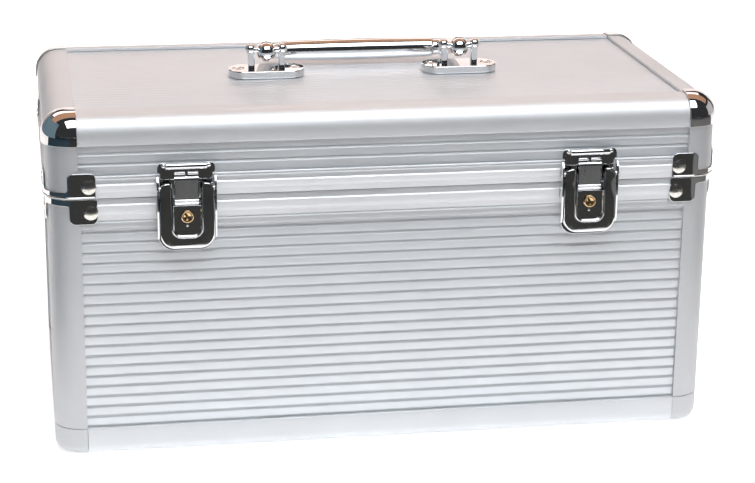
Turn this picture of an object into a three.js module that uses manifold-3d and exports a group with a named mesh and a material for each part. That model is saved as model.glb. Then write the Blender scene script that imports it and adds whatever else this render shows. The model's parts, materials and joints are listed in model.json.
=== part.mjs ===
// Aluminium-framed hobby case with two cantilever trays that rise as the lid opens.
// Millimetres, +Z up, +X to the right seen from the front, -Y the front with the latches.
// The origin is the middle of the footprint, on the surface that the case stands on.

import * as THREE from 'three';
import { mergeVertices } from 'three/addons/utils/BufferGeometryUtils.js';
import Module from 'manifold-3d';

// ---------- driving dimensions ----------

const LID_X = 190; // half width over the lid's profiles
const LID_Y = 95.5; // half depth over the lid's profiles
const BODY_X = 189.2; // the body is a little smaller than the lid at the seam
const BODY_Y = 94.7;
const TOP = 197; // top of the lid's profiles
const SEAM = 150.8; // height of the hinge axis and of the seam between body and lid
const SEAM_GAP = 0.2; // either rim stops this far from the seam
const CORNER_R = 16; // upright corners
const TOP_R = 12.5; // long edges round the lid's top
const BASE_R = 6; // long edges round the base

const FLANGE = 18; // width of a profile's visible flange
const FLANGE_T = 1.7; // thickness of that flange
const CORE = 7.3; // depth of a profile's solid corner
const SLOT = 13.4; // a panel's slot reaches this near to the corner
const PANEL_EDGE = 13.7; // a panel's own edge
const PANEL_IN = 2; // a panel's outer face lies this far inside the profiles
const PANEL_T = 5;
const BASE_H = 16; // height of the base rails
const BODY_RIM_BOTTOM = 133.6;
const LID_RIM_TOP = 163.3;
const TOP_RAIL_BOTTOM = 180.4;
const GAP = 0.3; // between neighbours that touch

const BAND_PROUD = 1; // raised band along either rim
const BAND_END = 160.5; // the band stops beside the corner brackets
const BODY_BAND = [141.5, 147];
const LID_BAND = [154.6, 158.6];

const PLATE_T = 1.2; // sheet of brackets, caps and leaves
const TAB_FROM = 12; // a corner bracket's tab, measured from the case's side
const TAB_TO = 27.3;
const TAB_H = 14.3;
const TAB_R = 3.5;
const LINK_H = 3.8; // the band that joins a bracket's two tabs round the corner

const LATCH_X = 113.6;
const LATCH_HALF = 16.3; // half width over the ears
const LATCH_PLATE = 15; // half width of the base plate and the lever
const LATCH_BOTTOM = 120;
const LATCH_R = 8.5;
const LATCH_PLATE_OUT = [-0.5, 0.7]; // base plate, measured out of the lid's front face
const EAR_T = 1; // thickness of the base's ears
const EAR_OUT = 5.2;
const EAR_TOP = 163;
const LEVER_BOTTOM = 122.4;
const LEVER_TOP = 159.2;
const LEVER_R = 8; // its lower corners
const LEVER_OUT = [2.2, 6.2]; // its back and front out of the lid's front face
const ARM_OUT = 5.4; // front of its arms beside the pivots
const ARM_TOP_R = 3.2;
const LEVER_PIN_R = 1.2;
const LEVER_PIVOT_Z = 156;
const LEVER_PIVOT_OUT = 3.8; // from the lid's face
const POCKET_HALF = 8.5; // the lever's pocket and the notch above it
const POCKET_BOTTOM = 128.5;
const POCKET_R = 5;
const POCKET_OUT = 4.4; // the pocket's floor
const NOTCH_BOTTOM = 146.5;
const LOCK_Z = 140.5;
const LOCK_R = 3.5;
const LOCK_OUT = [4.7, 7.2];
const KEYWAY = [1, 4.8, 1.4]; // width, height and depth

const CATCH_Z = [160.6, 170.2]; // plate of the catch on the lid
const CATCH_OUT = [0.3, 1.5];
const CATCH_HALF = [14.6, 16, 14.2]; // half widths at its foot, shoulders and top
const CATCH_SHOULDER = [164, 165.6]; // heights between which it is widest
const CATCH_SLOPE_END = 167.6;
const CATCH_BAR = { r: 1.8, half: 11.4, out: 2.1, z: 168.3 };
const STRAP_HALF = 6.7;
const STRAP_Z = [148.4, 162];
const STRAP_OUT = [2, 3.2];
const STRAP_FOOT = 160.6; // the strap's bent foot reaches back to the plate above this
const LIP_R = 0.9;

const HANDLE_X = 57.75; // middle of either handle bracket
const PIVOT_Z = 210.5; // handle's swing axis
const GRIP_Y = 26; // grip lying folded to the back
const GRIP_Z = 203.9;
const GRIP_R = 6.3;
const GRIP_HALF = 47; // half length of the thick grip, up to the bends
const ARM_R = 4.8;
const BALL = { r: 5.75, drop: 1.3 }; // end of an arm, its middle a little below the pivot
const GRIP_BENDS = [[0, 0], [0, 12], [1.2, 20], [5, 24.6], [11, GRIP_Y], [24, GRIP_Y]]; // inwards, back
const TRUNNION = 7.3; // half length of the pin through an arm's ball
const HANDLE_PLATE = [22.5, 11, 4.5]; // half length, half width and thickness
const HANDLE_PLATE_R = 10;
const POST_X = [7.6, 10.4]; // a bracket's posts, from its middle
const POST_Y = 2.5;
const POST_HEAD = { r: 2.8, x: 9.4 };

const HINGE_Y = 99.5; // axis of the lid's hinge
const BARREL_R = 3.2;
const HINGE_PIN_R = 1.5;
const HINGE_HALF = 150; // half length of the hinge
const KNUCKLES = 6;
const BODY_LEAF_Z = [135, 147.3];
const BODY_WEB_Z = [146.5, 150.4]; // joins a leaf to its knuckles
const LID_LEAF_Z = [154.4, 162.8];
const LID_WEB_Z = [151.3, 155];

const TRAY_X = 176.3; // half width of either tray
const TRAY_Y = [-84, 38];
const LOWER_Z = [78, 113];
const UPPER_Z = [116.5, 149.6];
const TRAY_WALL = 2;
const TRAY_R = 4; // upright corners of a tray and of its cells
const CELL_R = 3;
const ROW_SPLIT = -24; // front of the wall between the upper tray's rows
const LONG_CELL_END = 60; // its rear row has a long cell to here, and a short one
const BAR_ANGLE = THREE.MathUtils.degToRad(15); // a bar's rise at rest
const BAR_STEP = 48; // between pivots along a bar
const BAR_X = [176.9, 178.6];
const FRONT_BAR_Y = 18; // pivot in the side wall
const REAR_BAR_Y = 74;
const BAR_Z = 95;
const BAR_W = 9;
const STUD_R = 2;
const STUD_PLAY = 0.4; // between a stud and the tray's hole
const BAR_STUD_END = 181.8; // a bar's stud in the side wall reaches this far out
const LINK_STUD_END = 181.4; // and the front bar's stud for the lift link this far
const LINK_X = [179.2, 180.9];
const LINK_TOP = [74.4, 155.6]; // y and z of the lift link's pivot on the lid
const LINK_W = 10;
const LINK_MIDDLE = 107; // from its pivot to the middle of its slotted end
const LINK_FALL = THREE.MathUtils.degToRad(25.3); // below level, towards the front
const LINK_SLOT = 8.6; // either way from the middle of its slotted end
const SLOT_PLAY = 0.9; // between the stud and the slot's edges

const PAD = { x: 178, y: 84, r: 8, top: 12.6 }; // foam on the floor: half length and width

const ARC_STEPS = 3; // an arc is drawn with twice as many flats

// ---------- solids ----------

const wasm = await Module();
wasm.setup();

function solid(geometry) {
  const bare = geometry.clone();
  bare.deleteAttribute('normal');
  bare.deleteAttribute('uv');
  const merged = mergeVertices(bare, 1e-4);
  return new wasm.Manifold(new wasm.Mesh({
    numProp: 3,
    vertProperties: new Float32Array(merged.attributes.position.array),
    triVerts: new Uint32Array(merged.index.array),
  }));
}

function geometryOf(manifold) {
  const mesh = manifold.getMesh();
  const geometry = new THREE.BufferGeometry();
  geometry.setAttribute('position', new THREE.BufferAttribute(mesh.vertProperties, 3));
  geometry.setIndex(new THREE.BufferAttribute(mesh.triVerts, 1));
  geometry.computeVertexNormals();
  return geometry;
}

function boxGeometry(x, y, z) {
  const geometry = new THREE.BoxGeometry(x[1] - x[0], y[1] - y[0], z[1] - z[0]);
  return geometry.translate((x[0] + x[1]) / 2, (y[0] + y[1]) / 2, (z[0] + z[1]) / 2);
}

const box = (x, y, z) => solid(boxGeometry(x, y, z));

// An outline in X and Y, pulled up from z[0] to z[1].
function upright(shape, z, curveSegments = ARC_STEPS) {
  const options = { depth: z[1] - z[0], bevelEnabled: false, curveSegments };
  return new THREE.ExtrudeGeometry(shape, options).translate(0, 0, z[0]);
}

// An outline in Y and Z, pulled along X.
function alongX(shape, x, curveSegments = ARC_STEPS) {
  const turn = new THREE.Matrix4().makeBasis(
    new THREE.Vector3(0, 1, 0), new THREE.Vector3(0, 0, 1), new THREE.Vector3(1, 0, 0));
  return upright(shape, x, curveSegments).applyMatrix4(turn);
}

// An outline in X and Z, pulled along Y.
function alongY(shape, y, curveSegments = ARC_STEPS) {
  const options = { depth: y[1] - y[0], bevelEnabled: false, curveSegments };
  return new THREE.ExtrudeGeometry(shape, options).rotateX(Math.PI / 2).translate(0, y[1], 0);
}

function roundedRect(left, right, low, high, radii) {
  const [r1, r2, r3, r4] = typeof radii === 'number' ? [radii, radii, radii, radii] : radii;
  const shape = new THREE.Shape();
  shape.moveTo(left + r1, low);
  shape.lineTo(right - r2, low);
  if (r2) shape.absarc(right - r2, low + r2, r2, -Math.PI / 2, 0);
  shape.lineTo(right, high - r3);
  if (r3) shape.absarc(right - r3, high - r3, r3, 0, Math.PI / 2);
  shape.lineTo(left + r4, high);
  if (r4) shape.absarc(left + r4, high - r4, r4, Math.PI / 2, Math.PI);
  shape.lineTo(left, low + r1);
  if (r1) shape.absarc(left + r1, low + r1, r1, Math.PI, 1.5 * Math.PI);
  return shape;
}

function cylinderAlongX(r, x, y, z, sides = 12) {
  const geometry = new THREE.CylinderGeometry(r, r, x[1] - x[0], sides);
  return solid(geometry.rotateZ(Math.PI / 2).translate((x[0] + x[1]) / 2, y, z));
}

const unionOf = (parts) => parts.reduce((whole, part) => whole.add(part));
const mirrorX = (x, side) => (side > 0 ? x : [-x[1], -x[0]]);

// ---------- materials ----------

function finish(colour, roughness, metalness) {
  return new THREE.MeshStandardMaterial({ color: colour, roughness, metalness });
}

const satin = finish(0xd8dade, 0.4, 0.85);
const sheet = finish(0xc9ccd1, 0.38, 0.85);
const chrome = finish(0xe8e8ea, 0.08, 1);
const steel = finish(0xb4b7bb, 0.3, 1);
const brass = finish(0xb8935a, 0.25, 1);
const trayBlack = finish(0x2a2b2d, 0.6, 0);
const foam = finish(0x232427, 0.95, 0);

const groups = {
  body: new THREE.Group(),
  lid: new THREE.Group(),
  handle: new THREE.Group(),
  latches: new THREE.Group(),
  trays: new THREE.Group(),
};

function put(group, name, shape, material) {
  const geometry = shape.isBufferGeometry ? shape : geometryOf(shape);
  const mesh = new THREE.Mesh(geometry, material);
  mesh.name = name;
  groups[group].add(mesh);
}

// ---------- envelopes and slots ----------

// Rounded block over the lid (top edges rounded) or the body (base edges rounded), swollen by out.
function envelope(halfX, halfY, z, edgeR, atTop, out) {
  const x = halfX + out;
  const y = halfY + out;
  const low = atTop ? z[0] : z[0] - out;
  const high = atTop ? z[1] + out : z[1];
  const r = edgeR + out;
  const radii = atTop ? [0, 0, r, r] : [r, r, 0, 0];
  const plan = solid(upright(roundedRect(-x, x, -y, y, CORNER_R + out), [low, high]));
  const acrossX = solid(alongY(roundedRect(-x, x, low, high, radii), [-y - 1, y + 1]));
  const acrossY = solid(alongX(roundedRect(-y, y, low, high, radii), [-x - 1, x + 1]));
  return plan.intersect(acrossX).intersect(acrossY);
}

// The slots that four upright panels stand in, and the windows that show them.
function wallCuts(halfX, halfY, slotZ, windowZ) {
  const cuts = [];
  for (const side of [-1, 1]) {
    const near = (half, from, to) => (side > 0 ? [half - to, half - from] : [from - half, to - half]);
    const spanX = [-halfX + SLOT, halfX - SLOT];
    const spanY = [-halfY + SLOT, halfY - SLOT];
    cuts.push(box(spanX, near(halfY, FLANGE_T, CORE + 1), slotZ));
    cuts.push(box(near(halfX, FLANGE_T, CORE + 1), spanY, slotZ));
    cuts.push(box([-halfX + FLANGE, halfX - FLANGE], near(halfY, -5, CORE), windowZ));
    cuts.push(box(near(halfX, -5, CORE), [-halfY + FLANGE, halfY - FLANGE], windowZ));
  }
  return unionOf(cuts);
}

function ring(halfX, halfY, z) {
  const outline = roundedRect(-halfX, halfX, -halfY, halfY, CORNER_R);
  const inX = halfX - CORE;
  const inY = halfY - CORE;
  outline.holes.push(roundedRect(-inX, inX, -inY, inY, CORNER_R - CORE));
  return solid(upright(outline, z));
}

// Raised bands along the front and the two ends of a rim, broken where the latches sit.
function rimBands(halfX, halfY, z) {
  const latchIn = LATCH_X - LATCH_HALF - 1;
  const latchOut = LATCH_X + LATCH_HALF + 1;
  const depth = [-halfY - BAND_PROUD, -halfY + 2];
  const endY = BAND_END - (LID_X - LID_Y);
  const bands = [box([-latchIn, latchIn], depth, z)];
  for (const side of [-1, 1]) {
    bands.push(box(mirrorX([latchOut, BAND_END], side), depth, z));
    bands.push(box(mirrorX([halfX - 2, halfX + BAND_PROUD], side), [-endY, endY], z));
  }
  return unionOf(bands);
}

// ---------- body and lid frames ----------

const CORNERS = [
  ['front_left', -1, -1],
  ['front_right', 1, -1],
  ['back_left', -1, 1],
  ['back_right', 1, 1],
];

const PANEL_OUT = PANEL_IN + PANEL_T;

function wallPanels(group, prefix, halfX, halfY, z) {
  const spanX = [-halfX + PANEL_EDGE, halfX - PANEL_EDGE];
  const spanY = [-halfY + PANEL_EDGE, halfY - PANEL_EDGE];
  const sides = {
    front_panel: [spanX, [PANEL_IN - halfY, PANEL_OUT - halfY]],
    back_panel: [spanX, [halfY - PANEL_OUT, halfY - PANEL_IN]],
    left_panel: [[PANEL_IN - halfX, PANEL_OUT - halfX], spanY],
    right_panel: [[halfX - PANEL_OUT, halfX - PANEL_IN], spanY],
  };
  for (const [name, [x, y]] of Object.entries(sides)) {
    put(group, `${prefix}_${name}`, boxGeometry(x, y, z), sheet);
  }
}

function buildBodyFrame() {
  const rimFoot = BODY_RIM_BOTTOM - GAP;
  const hull = envelope(BODY_X, BODY_Y, [0, rimFoot], BASE_R, false, 0);
  const inside = [box([-BODY_X + CORE, BODY_X - CORE], [-BODY_Y + CORE, BODY_Y - CORE], [CORE, 200])];
  inside.push(box([-BODY_X + SLOT, BODY_X - SLOT], [-BODY_Y + SLOT, BODY_Y - SLOT],
    [FLANGE_T, CORE + 1]));
  inside.push(box([-BODY_X + FLANGE, BODY_X - FLANGE], [-BODY_Y + FLANGE, BODY_Y - FLANGE], [-5, CORE]));
  inside.push(wallCuts(BODY_X, BODY_Y, [SLOT, 200], [BASE_H, 200]));
  const frame = hull.subtract(unionOf(inside));
  const half = GAP / 2;
  for (const [place, sx, sy] of CORNERS) {
    const x = mirrorX([BODY_X - FLANGE + half, BODY_X + 5], sx);
    const y = mirrorX([BODY_Y - FLANGE + half, BODY_Y + 5], sy);
    put('body', `corner_post_${place}`, frame.intersect(box(x, y, [BASE_H + half, 200])), satin);
    put('body', `base_corner_${place}`, frame.intersect(box(x, y, [-5, BASE_H - half])), satin);
  }
  const railX = [-BODY_X + FLANGE + half, BODY_X - FLANGE - half];
  const railY = [-BODY_Y + FLANGE + half, BODY_Y - FLANGE - half];
  const low = [-5, BASE_H];
  const rails = {
    front: [railX, [-BODY_Y - 5, -BODY_Y + FLANGE]],
    back: [railX, [BODY_Y - FLANGE, BODY_Y + 5]],
    left: [[-BODY_X - 5, -BODY_X + FLANGE], railY],
    right: [[BODY_X - FLANGE, BODY_X + 5], railY],
  };
  for (const [place, [x, y]] of Object.entries(rails)) {
    put('body', `base_rail_${place}`, frame.intersect(box(x, y, low)), satin);
  }
}

function buildBodyShell() {
  buildBodyFrame();
  wallPanels('body', 'body', BODY_X, BODY_Y, [PANEL_EDGE, BODY_RIM_BOTTOM - GAP]);
  const edgeX = BODY_X - PANEL_EDGE;
  const edgeY = BODY_Y - PANEL_EDGE;
  const floor = boxGeometry([-edgeX, edgeX], [-edgeY, edgeY], [PANEL_IN, PANEL_OUT]);
  put('body', 'base_panel', floor, sheet);
  const rimZ = [BODY_RIM_BOTTOM, SEAM - SEAM_GAP];
  put('body', 'body_rim', ring(BODY_X, BODY_Y, rimZ).add(rimBands(BODY_X, BODY_Y, BODY_BAND)), satin);
  const pad = roundedRect(-PAD.x, PAD.x, -PAD.y, PAD.y, PAD.r);
  put('body', 'base_pad', upright(pad, [CORE + GAP, PAD.top]), foam);
}

const LID_Z = [LID_RIM_TOP + GAP, TOP];

function buildLidShell() {
  const inside = [box([-LID_X + CORE, LID_X - CORE], [-LID_Y + CORE, LID_Y - CORE], [0, TOP - CORE])];
  const slotTop = [TOP - CORE - 1, TOP - FLANGE_T];
  inside.push(box([-LID_X + SLOT, LID_X - SLOT], [-LID_Y + SLOT, LID_Y - SLOT], slotTop));
  inside.push(box([-LID_X + FLANGE, LID_X - FLANGE], [-LID_Y + FLANGE, LID_Y - FLANGE],
    [TOP - CORE, TOP + 5]));
  inside.push(wallCuts(LID_X, LID_Y, [0, TOP - SLOT], [0, TOP_RAIL_BOTTOM]));
  const hull = envelope(LID_X, LID_Y, LID_Z, TOP_R, true, 0);
  put('lid', 'lid_frame', hull.subtract(unionOf(inside)), satin);
  wallPanels('lid', 'lid', LID_X, LID_Y, [LID_Z[0], TOP - PANEL_EDGE]);
  const edgeX = LID_X - PANEL_EDGE;
  const edgeY = LID_Y - PANEL_EDGE;
  const topZ = [TOP - PANEL_OUT, TOP - PANEL_IN];
  put('lid', 'lid_top_panel', boxGeometry([-edgeX, edgeX], [-edgeY, edgeY], topZ), sheet);
  const rimZ = [SEAM + SEAM_GAP, LID_RIM_TOP];
  put('lid', 'lid_rim', ring(LID_X, LID_Y, rimZ).add(rimBands(LID_X, LID_Y, LID_BAND)), satin);
}

function buildLidCaps() {
  const skin = envelope(LID_X, LID_Y, LID_Z, TOP_R, true, PLATE_T)
    .subtract(envelope(LID_X, LID_Y, [LID_Z[0] - 1, TOP], TOP_R, true, GAP));
  for (const [place, sx, sy] of CORNERS) {
    const x = mirrorX([LID_X - FLANGE, LID_X + 5], sx);
    const y = mirrorX([LID_Y - FLANGE, LID_Y + 5], sy);
    put('lid', `lid_cap_${place}`, skin.intersect(box(x, y, [TOP_RAIL_BOTTOM, TOP + 5])), chrome);
  }
}

// ---------- corner brackets along the seam ----------

// A sheet that follows the case round one corner: a low link and a taller tab on either face.
function cornerBracket(halfX, halfY, [sx, sy], seamZ, up) {
  const block = (out, z) => solid(upright(
    roundedRect(-halfX - out, halfX + out, -halfY - out, halfY + out, CORNER_R + out), z));
  const reach = (half, side, from, to) => mirrorX([half - to, half - from], side);
  const zTo = (height) => (up > 0 ? [seamZ, seamZ + height] : [seamZ - height, seamZ]);
  const skin = block(GAP + PLATE_T, zTo(TAB_H)).subtract(block(GAP, [seamZ - 50, seamZ + 50]));
  const link = box(reach(halfX, sx, -5, TAB_TO), reach(halfY, sy, -5, TAB_TO), zTo(LINK_H));
  const tabOn = (half, side) => roundedRect(...reach(half, side, TAB_FROM, TAB_TO), ...zTo(TAB_H), TAB_R);
  const frontTab = solid(alongY(tabOn(halfX, sx), reach(halfY, sy, -5, 5)));
  const sideTab = solid(alongX(tabOn(halfY, sy), reach(halfX, sx, -5, 5)));
  return skin.intersect(link.add(frontTab).add(sideTab));
}

function buildBrackets() {
  for (const [place, sx, sy] of CORNERS) {
    const lid = cornerBracket(LID_X, LID_Y, [sx, sy], SEAM + GAP, 1);
    put('lid', `lid_bracket_${place}`, lid, chrome);
    const body = cornerBracket(BODY_X, BODY_Y, [sx, sy], SEAM - GAP, -1);
    put('body', `body_bracket_${place}`, body, chrome);
  }
}

// ---------- latches ----------

// Y range of something that stands from one height to another out of the lid's front face.
const outFrom = (low, high) => [-LID_Y - high, -LID_Y - low];

function latchBase() {
  const r = LATCH_R;
  const top = SEAM - 2 * SEAM_GAP;
  const low = LATCH_BOTTOM + r - 1;
  const plateShape = roundedRect(-LATCH_PLATE, LATCH_PLATE, LATCH_BOTTOM, top, [r, r, 0, 0]);
  const parts = [solid(alongY(plateShape, outFrom(...LATCH_PLATE_OUT)))];
  for (const side of [-1, 1]) {
    const earX = mirrorX([LATCH_HALF - EAR_T, LATCH_HALF], side);
    const footX = mirrorX([LATCH_PLATE - 2 * EAR_T, LATCH_HALF], side);
    const pinX = mirrorX([LATCH_PLATE - 2.5, LATCH_HALF - EAR_T / 2], side);
    parts.push(box(earX, outFrom(LATCH_PLATE_OUT[0], EAR_OUT), [low, top]));
    parts.push(box(footX, outFrom(...LATCH_PLATE_OUT), [low, top]));
    parts.push(box(earX, outFrom(2 * SEAM_GAP, EAR_OUT), [SEAM - 1, EAR_TOP]));
    parts.push(cylinderAlongX(LEVER_PIN_R, pinX, -LID_Y - LEVER_PIVOT_OUT, LEVER_PIVOT_Z, 8));
  }
  return unionOf(parts);
}

// A U of flat metal: two arms up to the pivot, and a thinner tongue across the middle for the lock.
function latchLever() {
  const half = LATCH_PLATE - 0.1;
  const wide = [-LATCH_HALF, LATCH_HALF];
  const above = 170; // clear of the lever's top
  const beyond = 10; // clear of its front
  const middle = [-POCKET_HALF, POCKET_HALF];
  const radii = [LEVER_R, LEVER_R, ARM_TOP_R, ARM_TOP_R];
  const outline = roundedRect(-half, half, LEVER_BOTTOM, LEVER_TOP, radii);
  const plate = solid(alongY(outline, outFrom(...LEVER_OUT)));
  const pocket = solid(alongY(
    roundedRect(...middle, POCKET_BOTTOM, above, [POCKET_R, POCKET_R, 0, 0]), outFrom(POCKET_OUT, beyond)));
  const notch = box(middle, outFrom(0, beyond), [NOTCH_BOTTOM, above]);
  const thinArms = box(wide, outFrom(ARM_OUT, beyond), [NOTCH_BOTTOM + 4, above]);
  const pinHole = cylinderAlongX(LEVER_PIN_R + GAP, wide, -LID_Y - LEVER_PIVOT_OUT, LEVER_PIVOT_Z, 8);
  const between = box([-12.2, 12.2], outFrom(0, beyond), [LEVER_PIVOT_Z - 2, LEVER_PIVOT_Z + 2]);
  return plate.subtract(pocket).subtract(notch).subtract(thinArms).subtract(pinHole.subtract(between));
}

// The catch on the lid: a plate under a rolled bar, with a strap that hangs into the lever's notch.
function latchCatch() {
  const [foot, wide, top] = CATCH_HALF;
  const half = [[foot, CATCH_Z[0]], [foot, CATCH_SHOULDER[0]], [wide, CATCH_SHOULDER[0]],
    [wide, CATCH_SHOULDER[1]], [top, CATCH_SLOPE_END], [top, CATCH_Z[1]]];
  const shape = new THREE.Shape();
  half.forEach(([x, z], i) => (i ? shape.lineTo(x, z) : shape.moveTo(x, z)));
  [...half].reverse().forEach(([x, z]) => shape.lineTo(-x, z));
  const bar = CATCH_BAR;
  const strapX = [-STRAP_HALF, STRAP_HALF];
  return unionOf([
    solid(alongY(shape, outFrom(...CATCH_OUT))),
    cylinderAlongX(bar.r, [-bar.half, bar.half], -LID_Y - bar.out, bar.z),
    box(strapX, outFrom(...STRAP_OUT), STRAP_Z),
    box(strapX, outFrom(CATCH_OUT[0], STRAP_OUT[1]), [STRAP_FOOT, STRAP_Z[1]]),
    cylinderAlongX(LIP_R, strapX, -LID_Y - 3, STRAP_Z[0], 8),
  ]);
}

function latchLock() {
  const [back, front] = LOCK_OUT;
  const [width, height, depth] = KEYWAY;
  const barrel = new THREE.CylinderGeometry(LOCK_R, LOCK_R, front - back, 16)
    .translate(0, -LID_Y - (back + front) / 2, LOCK_Z);
  const keyway = box([-width / 2, width / 2], outFrom(front - depth, front + 1),
    [LOCK_Z - height / 2, LOCK_Z + height / 2]);
  return solid(barrel).subtract(keyway);
}

function buildLatches() {
  for (const [place, x] of [['left', -LATCH_X], ['right', LATCH_X]]) {
    put('body', `latch_base_${place}`, latchBase().translate([x, 0, 0]), chrome);
    put('lid', `latch_keeper_${place}`, latchCatch().translate([x, 0, 0]), chrome);
    put('latches', `latch_lever_${place}`, latchLever().translate([x, 0, 0]), chrome);
    put('latches', `latch_lock_${place}`, latchLock().translate([x, 0, 0]), brass);
  }
}

// ---------- carrying handle ----------

function handleBracket() {
  const seat = TOP - PANEL_IN + GAP;
  const [halfX, halfY, thick] = HANDLE_PLATE;
  const plate = roundedRect(-halfX, halfX, -halfY, halfY, HANDLE_PLATE_R);
  const parts = [solid(upright(plate, [seat, seat + thick]))];
  for (const side of [-1, 1]) {
    const head = new THREE.SphereGeometry(POST_HEAD.r, 10, 6);
    parts.push(box(mirrorX(POST_X, side), [-POST_Y, POST_Y], [seat + thick - 0.5, PIVOT_Z]));
    parts.push(solid(head.translate(side * POST_HEAD.x, 0, PIVOT_Z)));
  }
  const between = box([-POST_X[0], POST_X[0]], [-4, 4], [seat + thick, PIVOT_Z + 5]);
  return unionOf(parts).subtract(between);
}

// Two arms from the pivots, bent round into a straight grip; drawn folded to the back.
function handleBail() {
  const slope = (GRIP_Z - PIVOT_Z) / GRIP_Y;
  const half = GRIP_BENDS.map(([inwards, y]) => (
    new THREE.Vector3(HANDLE_X - inwards, y, PIVOT_Z + slope * y)));
  const other = half.map((p) => new THREE.Vector3(-p.x, p.y, p.z)).reverse();
  const path = new THREE.CatmullRomCurve3([...half, ...other], false, 'centripetal');
  const section = new THREE.Shape().absarc(0, 0, ARM_R, 0, 2 * Math.PI);
  const options = { steps: 28, curveSegments: 6, bevelEnabled: false, extrudePath: path };
  const parts = [solid(new THREE.ExtrudeGeometry(section, options))];
  parts.push(cylinderAlongX(GRIP_R, [-GRIP_HALF, GRIP_HALF], GRIP_Y, GRIP_Z, 20));
  for (const side of [-1, 1]) {
    const x = side * HANDLE_X;
    parts.push(solid(new THREE.SphereGeometry(BALL.r, 12, 8).translate(x, 0, PIVOT_Z - BALL.drop)));
    parts.push(cylinderAlongX(STUD_R, [x - TRUNNION, x + TRUNNION], 0, PIVOT_Z, 8));
  }
  return unionOf(parts);
}

function buildHandle() {
  for (const [place, x] of [['left', -HANDLE_X], ['right', HANDLE_X]]) {
    put('lid', `handle_bracket_${place}`, handleBracket().translate([x, 0, 0]), chrome);
  }
  put('handle', 'carry_handle', handleBail(), chrome);
}

// ---------- rear hinge ----------

// A leaf with every second knuckle, from the first or the second.
function hingeLeaf(first, y, plateZ, webZ) {
  const pitch = (2 * HINGE_HALF) / KNUCKLES;
  const parts = [box([-HINGE_HALF, HINGE_HALF], [y, y + PLATE_T], plateZ)];
  for (let i = first; i < KNUCKLES; i += 2) {
    const start = -HINGE_HALF + i * pitch;
    const x = [start + GAP, start + pitch - GAP];
    parts.push(cylinderAlongX(BARREL_R, x, HINGE_Y, SEAM), box(x, [y, HINGE_Y - 1], webZ));
  }
  return unionOf(parts).subtract(
    cylinderAlongX(HINGE_PIN_R + 0.2, [-HINGE_HALF - 1, HINGE_HALF + 1], HINGE_Y, SEAM, 8));
}

function buildHinge() {
  const body = hingeLeaf(0, BODY_Y + GAP, BODY_LEAF_Z, BODY_WEB_Z);
  put('body', 'hinge_leaf_body', body, steel);
  const lid = hingeLeaf(1, LID_Y + GAP, LID_LEAF_Z, LID_WEB_Z);
  put('lid', 'hinge_leaf_lid', lid, steel);
  const pin = cylinderAlongX(HINGE_PIN_R, [-HINGE_HALF - 1, HINGE_HALF + 1], HINGE_Y, SEAM, 8);
  put('body', 'hinge_pin', pin, steel);
}

// ---------- trays and the linkage that lifts them ----------

const alongBar = (pivotY, distance) => [
  pivotY - distance * Math.cos(BAR_ANGLE), BAR_Z + distance * Math.sin(BAR_ANGLE)];

// A flat strip with round ends, from start in a direction, width across, between two X planes.
function strip(x, start, angle, from, to, width) {
  const outline = roundedRect(from - width / 2, to + width / 2, -width / 2, width / 2, width / 2);
  const flat = alongX(outline, x);
  return solid(flat.rotateX(angle).translate(0, start[0], start[1]));
}

function trayBar(pivotY, carriesLink) {
  const inBar = BAR_X[1] - 0.6;
  const studs = [cylinderAlongX(STUD_R, [inBar, BAR_STUD_END], pivotY, BAR_Z, 8)];
  for (const step of [1, 2]) {
    const [y, z] = alongBar(pivotY, step * BAR_STEP);
    studs.push(cylinderAlongX(STUD_R, [TRAY_X - TRAY_WALL + 0.2, inBar], y, z, 8));
  }
  if (carriesLink) {
    const [y, z] = alongBar(pivotY, BAR_STEP);
    studs.push(cylinderAlongX(STUD_R, [inBar, LINK_STUD_END], y, z, 8));
  }
  const bar = strip(BAR_X, [pivotY, BAR_Z], Math.PI - BAR_ANGLE, 0, 2 * BAR_STEP, BAR_W);
  return unionOf([bar, ...studs]);
}

// The lift link hangs from the lid's rim; the front bar's long stud slides in its slotted end.
function liftLink() {
  const angle = Math.PI + LINK_FALL;
  const slotX = [LINK_X[0] - 1, LINK_X[1] + 1];
  const pinX = [LINK_X[1] - 0.5, LID_X - CORE - GAP];
  const bar = strip(LINK_X, LINK_TOP, angle, 0, LINK_MIDDLE + LINK_SLOT + 1, LINK_W);
  const slot = strip(slotX, LINK_TOP, angle, LINK_MIDDLE - LINK_SLOT, LINK_MIDDLE + LINK_SLOT,
    2 * (STUD_R + SLOT_PLAY));
  return bar.subtract(slot).add(cylinderAlongX(STUD_R, pinX, ...LINK_TOP, 8));
}

// Cells are [left, right, front, back] inside the tray's walls.
function tray(z, cells) {
  const hull = solid(upright(roundedRect(-TRAY_X, TRAY_X, TRAY_Y[0], TRAY_Y[1], TRAY_R), z, 2));
  const cuts = cells.map(([left, right, front, back]) => solid(upright(
    roundedRect(left, right, front, back, CELL_R), [z[0] + TRAY_WALL, z[1] + 1], 2)));
  const step = z === LOWER_Z ? 1 : 2;
  for (const pivotY of [FRONT_BAR_Y, REAR_BAR_Y]) {
    const [y, pinZ] = alongBar(pivotY, step * BAR_STEP);
    cuts.push(cylinderAlongX(STUD_R + STUD_PLAY, [-TRAY_X - 1, 5 - TRAY_X], y, pinZ, 8));
    cuts.push(cylinderAlongX(STUD_R + STUD_PLAY, [TRAY_X - 5, TRAY_X + 1], y, pinZ, 8));
  }
  return hull.subtract(unionOf(cuts));
}

// Splits a row between the outer walls into equal cells.
function row(count, front, back, left = TRAY_WALL - TRAY_X, right = TRAY_X - TRAY_WALL) {
  const width = (right - left - (count - 1) * TRAY_WALL) / count;
  return Array.from({ length: count }, (_, i) => {
    const start = left + i * (width + TRAY_WALL);
    return [start, start + width, front, back];
  });
}

function mirrored(manifold) {
  return manifold.mirror([1, 0, 0]);
}

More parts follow.
